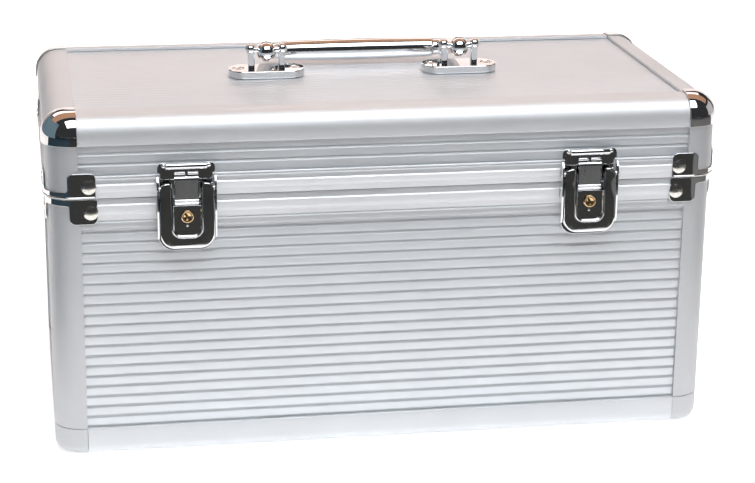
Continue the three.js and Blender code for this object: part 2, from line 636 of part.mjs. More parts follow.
function buildTrays() {
  const front = TRAY_Y[0] + TRAY_WALL;
  const back = TRAY_Y[1] - TRAY_WALL;
  const rear = ROW_SPLIT + TRAY_WALL;
  const inner = TRAY_X - TRAY_WALL;
  const upperCells = [...row(5, front, ROW_SPLIT), ...row(1, rear, back, -inner, LONG_CELL_END),
    ...row(1, rear, back, LONG_CELL_END + TRAY_WALL, inner)];
  put('trays', 'upper_tray', tray(UPPER_Z, upperCells), trayBlack);
  put('trays', 'lower_tray', tray(LOWER_Z, row(3, front, back)), trayBlack);
  for (const [name, pivotY, carriesLink] of [['front', FRONT_BAR_Y, true], ['rear', REAR_BAR_Y, false]]) {
    const bar = trayBar(pivotY, carriesLink);
    put('trays', `tray_bar_${name}_right`, bar, steel);
    put('trays', `tray_bar_${name}_left`, mirrored(bar), steel);
  }
  put('trays', 'lift_link_right', liftLink(), steel);
  put('trays', 'lift_link_left', mirrored(liftLink()), steel);
}

// ---------- the whole case ----------

buildBodyShell();
buildLidShell();
buildLidCaps();
buildBrackets();
buildLatches();
buildHandle();
buildHinge();
buildTrays();

const hobbyCase = new THREE.Group();
hobbyCase.add(...Object.values(groups));

export default hobbyCase;
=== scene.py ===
"""Aluminium hobby case: finish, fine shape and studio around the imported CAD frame.

Lengths are in metres in the CAD row's frame: +Z up, +X to the right seen from the front, -Y the
front; mm() turns millimetres into metres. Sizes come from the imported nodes' boxes where the CAD
has them.
"""

import json
import math

import bmesh
import bpy
from mathutils import Matrix, Vector


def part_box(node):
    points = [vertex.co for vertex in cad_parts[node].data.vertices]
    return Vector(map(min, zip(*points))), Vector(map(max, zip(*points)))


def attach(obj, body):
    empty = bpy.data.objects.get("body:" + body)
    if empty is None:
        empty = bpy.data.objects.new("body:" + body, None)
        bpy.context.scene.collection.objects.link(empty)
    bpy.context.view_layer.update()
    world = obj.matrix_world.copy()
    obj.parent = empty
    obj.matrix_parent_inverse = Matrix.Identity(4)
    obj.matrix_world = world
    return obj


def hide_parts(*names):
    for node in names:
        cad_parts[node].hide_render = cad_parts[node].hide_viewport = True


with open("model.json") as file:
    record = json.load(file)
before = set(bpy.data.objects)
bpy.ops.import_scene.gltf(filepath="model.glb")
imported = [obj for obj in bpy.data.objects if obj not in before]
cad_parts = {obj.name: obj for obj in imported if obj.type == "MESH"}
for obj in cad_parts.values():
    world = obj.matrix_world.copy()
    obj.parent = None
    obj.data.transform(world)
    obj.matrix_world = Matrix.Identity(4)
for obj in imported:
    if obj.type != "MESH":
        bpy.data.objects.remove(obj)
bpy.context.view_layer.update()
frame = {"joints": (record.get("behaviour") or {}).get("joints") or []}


def mm(size):
    """Millimetres to metres: a number, or lists and tuples of numbers."""
    if isinstance(size, (list, tuple)):
        return type(size)(mm(part) for part in size)
    return size * 0.001


# ---------- camera ----------

CAMERA_AT = (-0.1997, -1.1853, 0.4684)
CAMERA_YAW = 0.175      # turned this far to the right of +Y
CAMERA_PITCH = 0.305    # looking down
CAMERA_ROLL = 0.0116
SENSOR, LENS = 36.0, 98.66


def make_camera():
    data = bpy.data.cameras.new("camera")
    data.sensor_width = SENSOR
    data.lens = LENS
    data.clip_start = 0.01
    camera = bpy.data.objects.new("camera", data)
    turn = Matrix.Rotation(-CAMERA_YAW, 4, "Z") @ Matrix.Rotation(math.pi / 2 - CAMERA_PITCH, 4, "X")
    camera.matrix_world = Matrix.Translation(CAMERA_AT) @ turn @ Matrix.Rotation(CAMERA_ROLL, 4, "Z")
    bpy.context.scene.collection.objects.link(camera)
    bpy.context.scene.camera = camera


make_camera()

# ---------- sizes taken from the frame ----------

LID_X, LID_Y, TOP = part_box("lid_frame")[1]
BODY_X, BODY_Y = (-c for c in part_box("base_corner_front_left")[0].xy)
BODY_RIM_Z = [c.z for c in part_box("body_rim")]
LID_RIM_Z = [c.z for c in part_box("lid_rim")]
BASE_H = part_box("base_rail_front")[1].z
TOP_RAIL_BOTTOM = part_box("lid_cap_front_left")[0].z
JOINT = {j["name"]: Vector(j.get("pos_m", (0, 0, 0))) for j in frame["joints"]}
SEAM = JOINT["lid_hinge"].z

# ---------- mesh helpers ----------


def make_piece(name, bm, body, finish, node=None, smooth=40, bevel=None, degrees=50, clamp=True):
    """Makes a bmesh a piece that rides on a body; bevel is a width in millimetres and segments."""
    bmesh.ops.remove_doubles(bm, verts=bm.verts, dist=1e-7)
    bmesh.ops.recalc_face_normals(bm, faces=bm.faces)
    mesh = bpy.data.meshes.new(name)
    bm.to_mesh(mesh)
    bm.free()
    piece = bpy.data.objects.new(name, mesh)
    bpy.context.scene.collection.objects.link(piece)
    slot, material = finish
    mesh.materials.append(material)
    mesh.polygons.foreach_set("use_smooth", [True] * len(mesh.polygons))
    mesh.set_sharp_from_angle(angle=math.radians(smooth))
    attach(piece, body)
    if node:
        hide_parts(node)
    if bevel:
        add_bevel(piece, *bevel, degrees, clamp)
    return piece


def add_bevel(piece, width, segments, degrees, clamp):
    bevel = piece.modifiers.new("edge", "BEVEL")
    bevel.width = mm(width)
    bevel.segments = segments
    bevel.limit_method = "ANGLE"
    bevel.angle_limit = math.radians(degrees)
    bevel.harden_normals = True
    bevel.use_clamp_overlap = clamp


def arc(cx, cy, r, start, end, steps):
    """Points on an arc, angles in degrees."""
    turns = [math.radians(start + (end - start) * i / steps) for i in range(steps + 1)]
    return [(cx + r * math.cos(a), cy + r * math.sin(a)) for a in turns]


def hoop(middle, one, two, r, steps):
    """Points round a circle about middle, in the plane of two unit vectors."""
    turns = [2 * math.pi * k / steps for k in range(steps)]
    return [middle + (one * math.cos(a) + two * math.sin(a)) * r for a in turns]


def filleted(points, r, steps=3):
    """A closed outline with its corners rounded by r, or by less where its sides are short."""
    out = []
    for i, p in enumerate(points):
        p = Vector(p)
        before = Vector(points[i - 1]) - p
        after = Vector(points[(i + 1) % len(points)]) - p
        turn = before.angle(after, math.pi)
        if turn > math.radians(150):
            out.append(tuple(p))
            continue
        cut = min(r / math.tan(turn / 2), 0.45 * before.length, 0.45 * after.length)
        a, b = p + before.normalized() * cut, p + after.normalized() * cut
        for k in range(steps + 1):
            t = k / steps
            out.append(tuple(a * (1 - t) ** 2 + p * 2 * t * (1 - t) + b * t * t))
    return out


def rounded_rect(left, right, low, high, r, steps=6):
    """Outline of a rectangle; r is one radius or four, from the lower left counter-clockwise."""
    radii = [r] * 4 if isinstance(r, (int, float)) else r
    corners = [(left, low, 180), (right, low, 270), (right, high, 0), (left, high, 90)]
    signs = [(1, 1), (-1, 1), (-1, -1), (1, -1)]
    out = []
    for (x, y, start), (sx, sy), radius in zip(corners, signs, radii):
        out += arc(x + sx * radius, y + sy * radius, radius, start, start + 90, steps)
    return out


def along_y(a, b, c):
    return (a, c, b)


def along_z(a, b, c):
    return (a, b, c)


def skin(bm, rings, closed):
    """Makes the faces between neighbouring rings of vertices."""
    pairs = zip(rings, rings[1:] + rings[:1]) if closed else zip(rings, rings[1:])
    for one, two in pairs:
        for i in range(len(one)):
            j = (i + 1) % len(one)
            bm.faces.new((one[i], one[j], two[j], two[i]))


def loft(bm, rings, closed=False):
    """Skins rings of points, each with as many points. Open lofts get a face at either end."""
    made = [[bm.verts.new(p) for p in ring] for ring in rings]
    skin(bm, made, closed)
    if not closed:
        bm.faces.new(list(reversed(made[0])))
        bm.faces.new(made[-1])
    return bm


def prism(bm, outline, low, high, place):
    """A closed outline pulled from low to high; place(a, b, c) turns outline and height into a point."""
    return loft(bm, [[place(a, b, c) for a, b in outline] for c in (low, high)])


def lathe(bm, profile, centre, axis, steps=28):
    """Turns (radius, height) points about an axis through centre. The profile starts and ends on it."""
    turn = Vector((0, 0, 1)).rotation_difference(Vector(axis).normalized()).to_matrix()
    one, two, up = turn.transposed()
    rings = []
    for radius, height in profile[1:-1]:
        middle = Vector(centre) + up * height
        rings.append([bm.verts.new(p) for p in hoop(middle, one, two, radius, steps)])
    skin(bm, rings, False)
    for (_, height), ring in ((profile[0], rings[0]), (profile[-1], rings[-1])):
        tip = bm.verts.new(Vector(centre) + up * height)
        for k in range(steps):
            bm.faces.new((tip, ring[k], ring[(k + 1) % steps]))
    return bm


def bar_profile(r, low, high, edge):
    """Lathe profile of a round bar with softened edges."""
    return [(0, low), (r - edge, low), (r - edge * 0.3, low + edge * 0.3), (r, low + edge),
            (r, high - edge), (r - edge * 0.3, high - edge * 0.3), (r - edge, high), (0, high)]


def ball_profile(r, steps):
    turns = [math.pi * k / steps for k in range(1, steps)]
    return [(0, -r)] + [(r * math.sin(a), -r * math.cos(a)) for a in turns] + [(0, r)]


def thicken(bm, thickness):
    """Gives an open skin a back and edges; the skin itself stays outermost."""
    bm.normal_update()
    back = {v: bm.verts.new(v.co - v.normal * thickness * v.calc_shell_factor()) for v in list(bm.verts)}
    walls = []
    for edge in bm.edges:
        if edge.is_boundary:
            loop = edge.link_loops[0]
            a, b = loop.vert, loop.link_loop_next.vert
            walls.append((b, a, back[a], back[b]))
    for face in list(bm.faces):
        bm.faces.new([back[v] for v in reversed(face.verts)])
    for wall in walls:
        bm.faces.new(wall)
    return bm


def turn_outwards(bm, face, outward):
    """Turns an open skin over if the face points away from outward."""
    bm.normal_update()
    if face.normal.dot(Vector(outward)) < 0:
        bmesh.ops.reverse_faces(bm, faces=bm.faces[:])


def carved(bm, cutter):
    """The solids in bm less the solids in cutter, as a new bmesh."""
    made = []
    for name, part in (("whole", bm), ("cutter", cutter)):
        bmesh.ops.recalc_face_normals(part, faces=part.faces)
        mesh = bpy.data.meshes.new(name)
        part.to_mesh(mesh)
        part.free()
        made.append(bpy.data.objects.new(name, mesh))
        bpy.context.scene.collection.objects.link(made[-1])
    cut = made[0].modifiers.new("cut", "BOOLEAN")
    cut.operation = "DIFFERENCE"
    cut.solver = "EXACT"
    cut.object = made[1]
    bpy.context.view_layer.update()
    result = bmesh.new()
    result.from_object(made[0], bpy.context.evaluated_depsgraph_get())
    for thing in made:
        mesh = thing.data
        bpy.data.objects.remove(thing)
        bpy.data.meshes.remove(mesh)
    return result


# ---------- the path round the case ----------

CORNER_R = mm(16)
# Sides with their outward directions, anticlockwise; each follows the corner at the same place.
SIDES = {"front": (0, -1), "right": (1, 0), "back": (0, 1), "left": (-1, 0)}
CORNERS = {"front_left": (-1, -1), "front_right": (1, -1), "back_right": (1, 1), "back_left": (-1, 1)}


def runs_along(side):
    return "x" if side in ("front", "back") else "y"


class Loop:
    """A rounded rectangle seen from above; its stations are (point, outward)."""

    def __init__(self, half_x, half_y):
        self.half_x, self.half_y = half_x, half_y

    def half(self, side):
        """Half the length of a side."""
        return self.half_x if runs_along(side) == "x" else self.half_y

    def round_corner(self, corner, degrees, off=0):
        """The station on a corner's arc in a direction, off the face."""
        sx, sy = CORNERS[corner]
        turn = math.radians(degrees)
        n = Vector((math.cos(turn), math.sin(turn)))
        centre = Vector((sx * (self.half_x - CORNER_R), sy * (self.half_y - CORNER_R)))
        return centre + n * (CORNER_R + off), n

    def corner(self, corner, steps=14):
        """Stations round a corner, anticlockwise."""
        sx, sy = CORNERS[corner]
        start = math.degrees(math.atan2(sy, sx)) - 45
        return [self.round_corner(corner, start + 90 * k / steps) for k in range(steps + 1)]

    def on_side(self, side, at):
        """The station on a side, at a distance from its middle, anticlockwise."""
        nx, ny = SIDES[side]
        return Vector((nx * self.half_x - ny * at, ny * self.half_y + nx * at)), Vector((nx, ny))


BODY, LID = ("case_body", Loop(BODY_X, BODY_Y)), ("lid", Loop(LID_X, LID_Y))


def placed(station, out, z):
    """The point off a station's face at height z."""
    point, normal = station
    return (*(point + normal * out), z)


# ---------- materials ----------


class Look:
    """A node material with a few shorthands; every pattern is in the object's own coordinates."""

    def __init__(self, name, colour, metallic, roughness):
        self.material = bpy.data.materials.new(name)
        self.material.use_nodes = True
        self.tree = self.material.node_tree
        self.put({"Base Color": (*colour, 1), "Metallic": metallic, "Roughness": roughness})

    def put(self, inputs, node=None):
        """Sets a node's inputs, the shader's if none is given, to values or other nodes' outputs."""
        node = node or self.tree.nodes["Principled BSDF"]
        for name, value in inputs.items():
            if isinstance(value, bpy.types.NodeSocket):
                self.tree.links.new(value, node.inputs[name])
            else:
                node.inputs[name].default_value = value

    def node(self, kind, output, inputs, **settings):
        made = self.tree.nodes.new("ShaderNode" + kind)
        for name, value in settings.items():
            setattr(made, name, value)
        self.put(inputs, made)
        return made.outputs[output]

    def noise(self, stretch, detail, rough=0.55):
        """Noise of so many cycles a metre, one number or one for each axis."""
        stretch = stretch if isinstance(stretch, tuple) else (stretch,) * 3
        where = self.node("TexCoord", "Object", {})
        where = self.node("Mapping", "Vector", {"Vector": where, "Scale": stretch})
        return self.node("TexNoise", "Fac", {"Vector": where, "Scale": 1, "Detail": detail,
                                             "Roughness": rough})

    def spread(self, value, low, high):
        """The middle of a noise's range, spread from low to high."""
        return self.node("MapRange", "Result", {"Value": value, "From Min": 0.3, "From Max": 0.7,
                                                "To Min": low, "To Max": high})


def mottled(name, base, metallic, roughness, light, dark, cloud, rough_by=None, bump_by=None):
    """cloud is a noise from light to dark; rough_by: noise, low, high; bump_by: noise, height."""
    look = Look(name, base, metallic, roughness)
    mix = {"Factor": look.spread(look.noise(*cloud), 0, 1), "A": (*light, 1), "B": (*dark, 1)}
    look.put({"Base Color": look.node("Mix", "Result", mix, data_type="RGBA")})
    if rough_by:
        look.put({"Roughness": look.spread(look.noise(*rough_by[0]), *rough_by[1:])})
    if bump_by:
        bump = {"Height": look.noise(*bump_by[0]), "Strength": 1, "Distance": bump_by[1]}
        look.put({"Normal": look.node("Bump", "Normal", bump)})
    return look


def brushed(name, light, dark, metallic, roughness, stretch, depth):
    """Metal with streaks, in faint patches."""
    streaks = (stretch, 4.0, 0.65)
    look = mottled(name, light, metallic, roughness, light, dark, (14, 2.0),
                   (streaks, roughness - 0.04, roughness + 0.05), (streaks, depth))
    return look.material


def along(axis, low=24, high=2600):
    """Stretch of a grain along an axis, in cycles a metre."""
    return tuple(low if letter == axis else high for letter in "xyz")


SATIN, SATIN_DARK = (0.80, 0.81, 0.83), (0.76, 0.77, 0.79)
SHEET, SHEET_DARK = (0.82, 0.845, 0.875), (0.78, 0.805, 0.835)
POST_PAINTED_SHADE = 0.84       # painted shade: pieces on the z finish (posts, their skins, base caps) take the rails' colour darkened, for the shade on them; same metal


# The z copy of this satin carries painted shade: the same metal with its colours darkened for the shade on
# the upright pieces.
def satin_along(axis):
    painted_shade = POST_PAINTED_SHADE if axis == "z" else 1
    light, dark = ([painted_shade * c for c in colour] for colour in (SATIN, SATIN_DARK))
    look = brushed("satin_aluminium_" + axis, light, dark, 0.62, 0.5, along(axis), 0.6e-6)
    return "satin_frame", look


def sheet_along(axis):
    look = brushed("ribbed_aluminium_" + axis, SHEET, SHEET_DARK, 0.6, 0.40, along(axis), 1.0e-6)
    return "ribbed_sheet", look


def lining_look():
    look = mottled("flocked_lining", (0.03, 0.03, 0.033), 0, 0.95, (0.024, 0.024, 0.027),
                   (0.042, 0.042, 0.046), (30, 3.0), bump_by=((1500, 4.0), 120e-6))
    look.put({"Sheen Weight": 0.35, "Sheen Roughness": 0.5})
    return look.material


# A finish is a slot name, which nothing here uses, and a material.
SATIN_FINISH = {axis: satin_along(axis) for axis in "xyz"}
SHEET_FINISH = {axis: sheet_along(axis) for axis in "xy"}
SMEARS, WEAR, TURNED, STREAKS = (90, 3.0), (500, 3.0), (700, 3.0), ((260, 60, 60), 3.0)
GRAIN, CELLS = (2200, 2.0), (900, 5.0, 0.7)
CHROME = ("chrome", mottled(
    "polished_chrome", (0.86, 0.865, 0.87), 1, 0.05, (0.88, 0.88, 0.885), (0.82, 0.825, 0.835),
    SMEARS, (SMEARS, 0.03, 0.09), ((60, 1.0), 12e-6)).material)
RIVET = ("chrome", mottled(
    "nickel_rivet", (0.80, 0.78, 0.73), 1, 0.22, (0.82, 0.80, 0.75), (0.68, 0.66, 0.61),
    WEAR, (WEAR, 0.18, 0.28)).material)
STRAP = ("chrome", mottled(
    "catch_strap", (0.5, 0.51, 0.5), 1, 0.28, (0.54, 0.55, 0.54), (0.47, 0.48, 0.47),
    STREAKS, (STREAKS, 0.26, 0.34)).material)
BRASS = ("brass", mottled(
    "turned_brass", (0.85, 0.62, 0.34), 1, 0.16, (0.88, 0.66, 0.38), (0.66, 0.46, 0.24),
    TURNED, (TURNED, 0.12, 0.22)).material)
STEEL = ("steel", brushed("plated_steel", (0.62, 0.63, 0.65), (0.52, 0.53, 0.55), 1, 0.28,
                          along("y", 60, 900), 1.5e-6))
TRAY = ("tray", mottled(
    "tray_plastic", (0.035, 0.036, 0.038), 0, 0.5, (0.032, 0.033, 0.035), (0.045, 0.046, 0.05),
    (25, 2.0), (GRAIN, 0.42, 0.58), (GRAIN, 18e-6)).material)
LINING = ("pad", lining_look())
FOAM = ("pad", mottled(
    "open_cell_foam", (0.03, 0.03, 0.033), 0, 0.95, (0.02, 0.02, 0.022), (0.05, 0.05, 0.055),
    CELLS, bump_by=(CELLS, 350e-6)).material)

# ---------- extruded frame ----------

FLANGE, FLANGE_T = mm(18), mm(1.7)
CORE, SLOT = mm(7.3), mm(13.4)      # the profile's solid inner corner and the slots beside it
TOP_R, BASE_R = mm(12.5), mm(6)
EDGE = mm(0.35)         # softened edges of the extrusions
HAIR = mm(0.15)         # half of the hairline between two butted profiles
CAP_OUT, CAP_T, BASE_CAP_T = mm(1.2), mm(0.9), mm(1.6)


def post_outline(sx, sy, loop):
    """Plan of a corner profile: round outside, two flanges, a solid inner corner."""
    local = [(FLANGE, 0)] + arc(CORNER_R, CORNER_R, CORNER_R, 270, 180, 16) + [(0, FLANGE)]
    local += [(FLANGE_T, FLANGE), (FLANGE_T, SLOT), (CORE, SLOT), (CORE, CORE), (SLOT, CORE)]
    local += [(SLOT, FLANGE_T), (FLANGE, FLANGE_T)]
    return [(sx * (loop.half_x - a), sy * (loop.half_y - b)) for a, b in filleted(local, EDGE)]


def make_post(name, half, corner, low, high, node=None):
    body, loop = half
    bm = prism(bmesh.new(), post_outline(*CORNERS[corner], loop), low + HAIR, high - HAIR, along_z)
    make_piece(name, bm, body, SATIN_FINISH["z"], node, smooth=35)


def rail_section(shoulder, flat, up, foot):
    """(outward, z) outline of a rail: shoulder, flat face at z flat, inner side, foot."""
    line = [(0, foot)] + shoulder
    line += [(-FLANGE, flat), (-FLANGE, flat - up * FLANGE_T), (-SLOT, flat - up * FLANGE_T)]
    line += [(-SLOT, flat - up * CORE), (-CORE, flat - up * CORE), (-CORE, flat - up * SLOT)]
    line += [(-FLANGE_T, flat - up * SLOT), (-FLANGE_T, foot)]
    return filleted(line, EDGE)


TOP_RAIL = rail_section(arc(-TOP_R, TOP - TOP_R, TOP_R, 0, 90, 18), TOP, 1, TOP_RAIL_BOTTOM)
BASE_RAIL = rail_section(arc(-BASE_R, BASE_R, BASE_R, 360, 270, 10), 0, -1, BASE_H)


def make_rail(name, half, side, section, node=None):
    """A straight length of profile between the corner pieces."""
    body, loop = half
    reach = loop.half(side) - FLANGE - HAIR
    rings = [[placed(loop.on_side(side, at), out, z) for out, z in section] for at in (-reach, reach)]
    make_piece(name, loft(bmesh.new(), rings), body, SATIN_FINISH[runs_along(side)], node,
               smooth=35)


def corner_rows(edge_r, out, lip):
    """(inset, distance below the flat, plan radius) from the skirt's lip to the flat's far corner."""
    rows = [(-out, lip, CORNER_R + out), (-out, edge_r, CORNER_R + out)]
    for k in range(1, 11):
        a = math.radians(9 * k)
        inset = edge_r - (edge_r + out) * math.cos(a)
        rows.append((inset, edge_r - (edge_r + out) * math.sin(a), CORNER_R - inset))
    inset, drop, r = rows[-1]
    return rows + [(inset + (FLANGE - inset) * k / 3, drop, max(0, r * (1 - k / 3))) for k in (1, 2, 3)]


def corner_skin(bm, rows, place):
    """A skin over a corner: rows of an L-shaped plan line that shrinks to the flat's far corner."""
    straight, bend = 3, 14
    grid = []
    for inset, drop, r in rows:
        line = [(FLANGE + (inset + r - FLANGE) * k / straight, inset) for k in range(straight)]
        line += arc(inset + r, inset + r, r, 270, 180, bend)
        line += [(inset, inset + r + (FLANGE - inset - r) * k / straight) for k in range(1, straight + 1)]
        grid.append([bm.verts.new(place(a, b, drop)) for a, b in line])
    for one, two in zip(grid, grid[1:]):
        for i in range(len(one) - 1):
            bm.faces.new((one[i], one[i + 1], two[i + 1], two[i]))


def make_corner(name, half, corner, flat, shape, thickness, finish, node):
    """A cap over a corner; flat is its face's z and 1 or -1 for up or down, shape is for its rows."""
    (body, loop), (sx, sy), (z, up) = half, CORNERS[corner], flat

    def place(a, b, drop):
        return (sx * (loop.half_x - a), sy * (loop.half_y - b), z - up * drop)

    bm = bmesh.new()
    corner_skin(bm, corner_rows(*shape), place)
    bmesh.ops.remove_doubles(bm, verts=bm.verts, dist=1e-6)
    bmesh.ops.recalc_face_normals(bm, faces=bm.faces)
    turn_outwards(bm, max(bm.faces, key=lambda f: up * f.calc_center_median().z), (0, 0, up))
    make_piece(name, thicken(bm, thickness), body, finish, node, bevel=(0.25, 2))


def build_frames():
    base_shape = (BASE_R, 0, BASE_H - HAIR)
    cap_shape = (TOP_R, CAP_OUT, TOP - TOP_RAIL_BOTTOM)
    for corner in CORNERS:
        make_post("body_post_" + corner, BODY, corner, BASE_H, BODY_RIM_Z[0], "corner_post_" + corner)
        make_post("lid_post_" + corner, LID, corner, LID_RIM_Z[1], TOP_RAIL_BOTTOM + mm(1))
        make_corner("base_cap_" + corner, BODY, corner, (0, -1), base_shape, BASE_CAP_T,
                    SATIN_FINISH["z"], "base_corner_" + corner)
        make_corner("lid_corner_cap_" + corner, LID, corner, (TOP, 1), cap_shape, CAP_T, CHROME,
                    "lid_cap_" + corner)
    for side in SIDES:
        make_rail("base_rail_profile_" + side, BODY, side, BASE_RAIL, "base_rail_" + side)
        make_rail("lid_rail_profile_" + side, LID, side, TOP_RAIL,
                  "lid_frame" if side == "front" else None)


build_frames()

# ---------- ribbed panels ----------

PANEL_EDGE = mm(13.7)   # from a frame's corner to the panel's own edge
PANEL_IN = mm(2)        # panel face behind the frame's face
PANEL_T, SHEET_T = mm(5), mm(1.7)   # behind the metal sheet, the rest of the panel is a lined board
BOARD_SOFT = mm(0.8)    # soft edge on a board's inner side
RIB, GROOVE_W = mm(6), mm(2.1)      # pitch and width of the grooves
GROOVE, TOP_GROOVE = mm(0.62), mm(0.08)     # depth under the square upper lip; the top's is less
LIP, LIP_DEPTH = 0.42, 0.76         # share of a groove's width and depth in its steeper lower lip
CROWN = mm(0.04)        # rise of a flat between two grooves
END_FLAT = mm(0.8)      # least flat at a sheet's ends
BODY_GROOVE_AT, LID_GROOVE_AT = mm(15.5), mm(168.4)     # lower lip of one groove, in z
TOP_GROOVE_AT = mm(2)   # in y


def ribbed_line(low, high, groove_at, groove=GROOVE):
    """(position, depth) along a ribbed face; a groove's lower lip lies at groove_at plus whole pitches."""
    line = [(low, 0)]
    at = groove_at + math.ceil((low + END_FLAT - groove_at) / RIB) * RIB
    while at + GROOVE_W < high - END_FLAT:
        line += [(at, 0), (at + LIP * GROOVE_W, LIP_DEPTH * groove), (at + 0.9 * GROOVE_W, groove)]
        line += [(at + 0.95 * GROOVE_W, groove), (at + GROOVE_W, 0)]
        if at + RIB < high:
            line += [(at + GROOVE_W + (RIB - GROOVE_W) * k / 4, -CROWN * math.sin(math.pi * k / 4))
                     for k in (1, 2, 3)]
        at += RIB
    return line + [(high, 0)]


def make_panel(sheet, lining, body, axis, node, line, half, place):
    """A ribbed sheet and the board behind it; place(along, position, depth) puts both."""
    low, high = line[0][0], line[-1][0]
    section = line + [(high, SHEET_T), (low, SHEET_T)]
    rings = [[place(at, pos, depth) for pos, depth in section] for at in (-half, half)]
    make_piece(sheet, loft(bmesh.new(), rings), body, SHEET_FINISH[axis], node, smooth=25)
    rings = []
    for depth, inset in ((SHEET_T + HAIR, 0), (PANEL_T - BOARD_SOFT, 0),
                         (PANEL_T - 0.3 * BOARD_SOFT, 0.3 * BOARD_SOFT), (PANEL_T, BOARD_SOFT)):
        a, b, c = half - inset, low + inset, high - inset
        rings.append([place(x, p, depth) for x, p in ((-a, b), (a, b), (a, c), (-a, c))])
    make_piece(lining, loft(bmesh.new(), rings), body, LINING, smooth=35)


def build_panels():
    for side in SIDES:
        for prefix, (body, loop), groove_at in (("body", BODY, BODY_GROOVE_AT),
                                                ("lid", LID, LID_GROOVE_AT)):
            low, high = (c.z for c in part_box(prefix + "_front_panel"))
            make_panel(f"{prefix}_sheet_{side}", f"{prefix}_lining_{side}", body, runs_along(side),
                       f"{prefix}_{side}_panel", ribbed_line(low, high, groove_at),
                       loop.half(side) - PANEL_EDGE,
                       lambda a, z, depth: placed(loop.on_side(side, a), -PANEL_IN - depth, z))
    half_y = LID_Y - PANEL_EDGE
    make_panel("lid_sheet_top", "lid_lining_top", "lid", "x", "lid_top_panel",
               ribbed_line(-half_y, half_y, TOP_GROOVE_AT, TOP_GROOVE), LID_X - PANEL_EDGE,
               lambda a, y, depth: (a, y, TOP - PANEL_IN - depth))
    half_y = BODY_Y - PANEL_EDGE
    make_panel("base_sheet", "base_board", "case_body", "x", "base_panel",
               ribbed_line(-half_y, half_y, TOP_GROOVE_AT), BODY_X - PANEL_EDGE,
               lambda a, y, depth: (a, y, PANEL_IN + depth))


build_panels()

# ---------- rims ----------

BAND_PROUD, BAND_END = mm(1), mm(162.5)
BODY_BAND, LID_BAND = mm((141.5, 147)), mm((154.6, 158.6))      # the raised bands, in z
BODY_RIM_GROOVE = mm([(136.7, 0), (136.9, -0.1), (137.7, -0.6), (138, -0.6), (138.5, -0.05),
                      (138.7, 0)])      # (z, outward)
LID_RIM_GROOVE = mm([(161.3, 0), (161.5, -0.1), (162.1, -0.5), (162.4, -0.5), (162.7, -0.05)])
LATCH_X = JOINT["lever_right_lift"].x
LATCH_CLEAR = mm(16.6)  # the bands stop this far from a latch's middle


def rim_stations(loop):
    """Stations once round, each with 1 where the raised band is there and 0 where it isn't."""
    side_end = BAND_END - (LID_X - LID_Y)
    marks = {"front": [side * LATCH_X + step * LATCH_CLEAR for side in (-1, 1) for step in (-1, 1)]}
    marks["front"] = [-BAND_END] + marks["front"] + [BAND_END]
    marks["right"] = marks["left"] = [-side_end, side_end]
    stations = []
    for corner, side in zip(CORNERS, SIDES):
        stations += [(s, 0) for s in loop.corner(corner)]
        for number, at in enumerate(marks.get(side, [])):
            stations.append((loop.on_side(side, at - mm(0.02)), number % 2))
            stations.append((loop.on_side(side, at + mm(0.02)), 1 - number % 2))
    return stations


def make_rim(name, half, outer, low, high, node):
    """outer is (z, outward, share of the raised band) up the outside."""
    body, loop = half
    inner = [(-CORE + mm(0.3), high), (-CORE, high - mm(0.3)), (-CORE, low + mm(0.3)),
             (-CORE + mm(0.3), low)]
    rings = []
    for station, on in rim_stations(loop):
        ring = [placed(station, out + BAND_PROUD * share * on, z) for z, out, share in outer]
        rings.append(ring + [placed(station, out, z) for out, z in inner])
    bm = loft(bmesh.new(), rings, closed=True)
    make_piece(name, bm, body, SATIN_FINISH["x"], node)


def band(low, high, r=mm(0.3)):
    """The raised band's part of a rim's outline, upwards."""
    return [(low - r, 0, 0), (low, 0.2 * r, 0.1), (low + 0.1 * r, 0, 0.3), (low + r, 0, 0.42),
            ((low + high) / 2, 0, 0.74), (high - r, 0, 1), (high - 0.1 * r, 0, 0.8),
            (high, 0.2 * r, 0.2), (high + r, 0, 0)]


def outline_part(z, offsets):
    """Plain points of a rim's outline, offsets from z in millimetres."""
    return [(z + mm(step), mm(out), 0) for step, out in offsets]


def build_rims():
    low, high = BODY_RIM_Z
    outer = outline_part(low, [(0, -0.3), (0.3, 0)])
    outer += [(z, out, 0) for z, out in BODY_RIM_GROOVE]
    outer += band(*BODY_BAND) + outline_part(high, [(-0.35, 0), (-0.1, -0.1), (0, -0.35)])
    make_rim("body_rim_profile", BODY, outer, low, high, "body_rim")
    low, high = LID_RIM_Z
    outer = outline_part(low, [(0, -0.35), (0.1, -0.1), (0.35, 0)]) + band(*LID_BAND)
    outer += [(z, out, 0) for z, out in LID_RIM_GROOVE] + outline_part(high, [(-0.25, 0), (0, -0.3)])
    make_rim("lid_rim_profile", LID, outer, low, high, "lid_rim")


build_rims()

# ---------- seam brackets and their rivets ----------

BRACKET_T = mm(0.8)
PLATE_OFF = mm(0.15)    # a bracket's back stands this far off the frame
SEAM_OFF = mm(0.3)      # and its foot this far from the seam
TAB_NEAR, TAB_FAR = mm(12), mm(27.3)
TAB_H, TAB_R, LINK_H = mm(14.3), mm(3.5), mm(3.8)
INNER_R = mm(1.4)       # where a tab meets the link
BEAD_R, BEAD_UP = mm(0.5), mm(0.7)
RIVET_FROM_CORNER, RIVET_R, RIVET_H = mm(23.5), mm(4), mm(1.15)
LID_RIVET_UP, BODY_RIVET_DOWN = mm(6.9), mm(7.8)
SKIN_LOW, SKIN_HIGH, SKIN_SEAM = mm(16.4), mm(180.1), mm(0.3)
SKIN_PROUD, SKIN_T = mm(0.1), mm(0.6)   # skin of a corner profile over its seams with the rims
BEND_HALF = CORNER_R * math.pi / 4      # half the corner's arc, along the frame's face


def unrolled(distance):
    """How far round from a corner's middle a point lies that is this far from the case's side."""
    if distance >= CORNER_R:
        return BEND_HALF + distance - CORNER_R
    return BEND_HALF - CORNER_R * math.asin(1 - distance / CORNER_R)


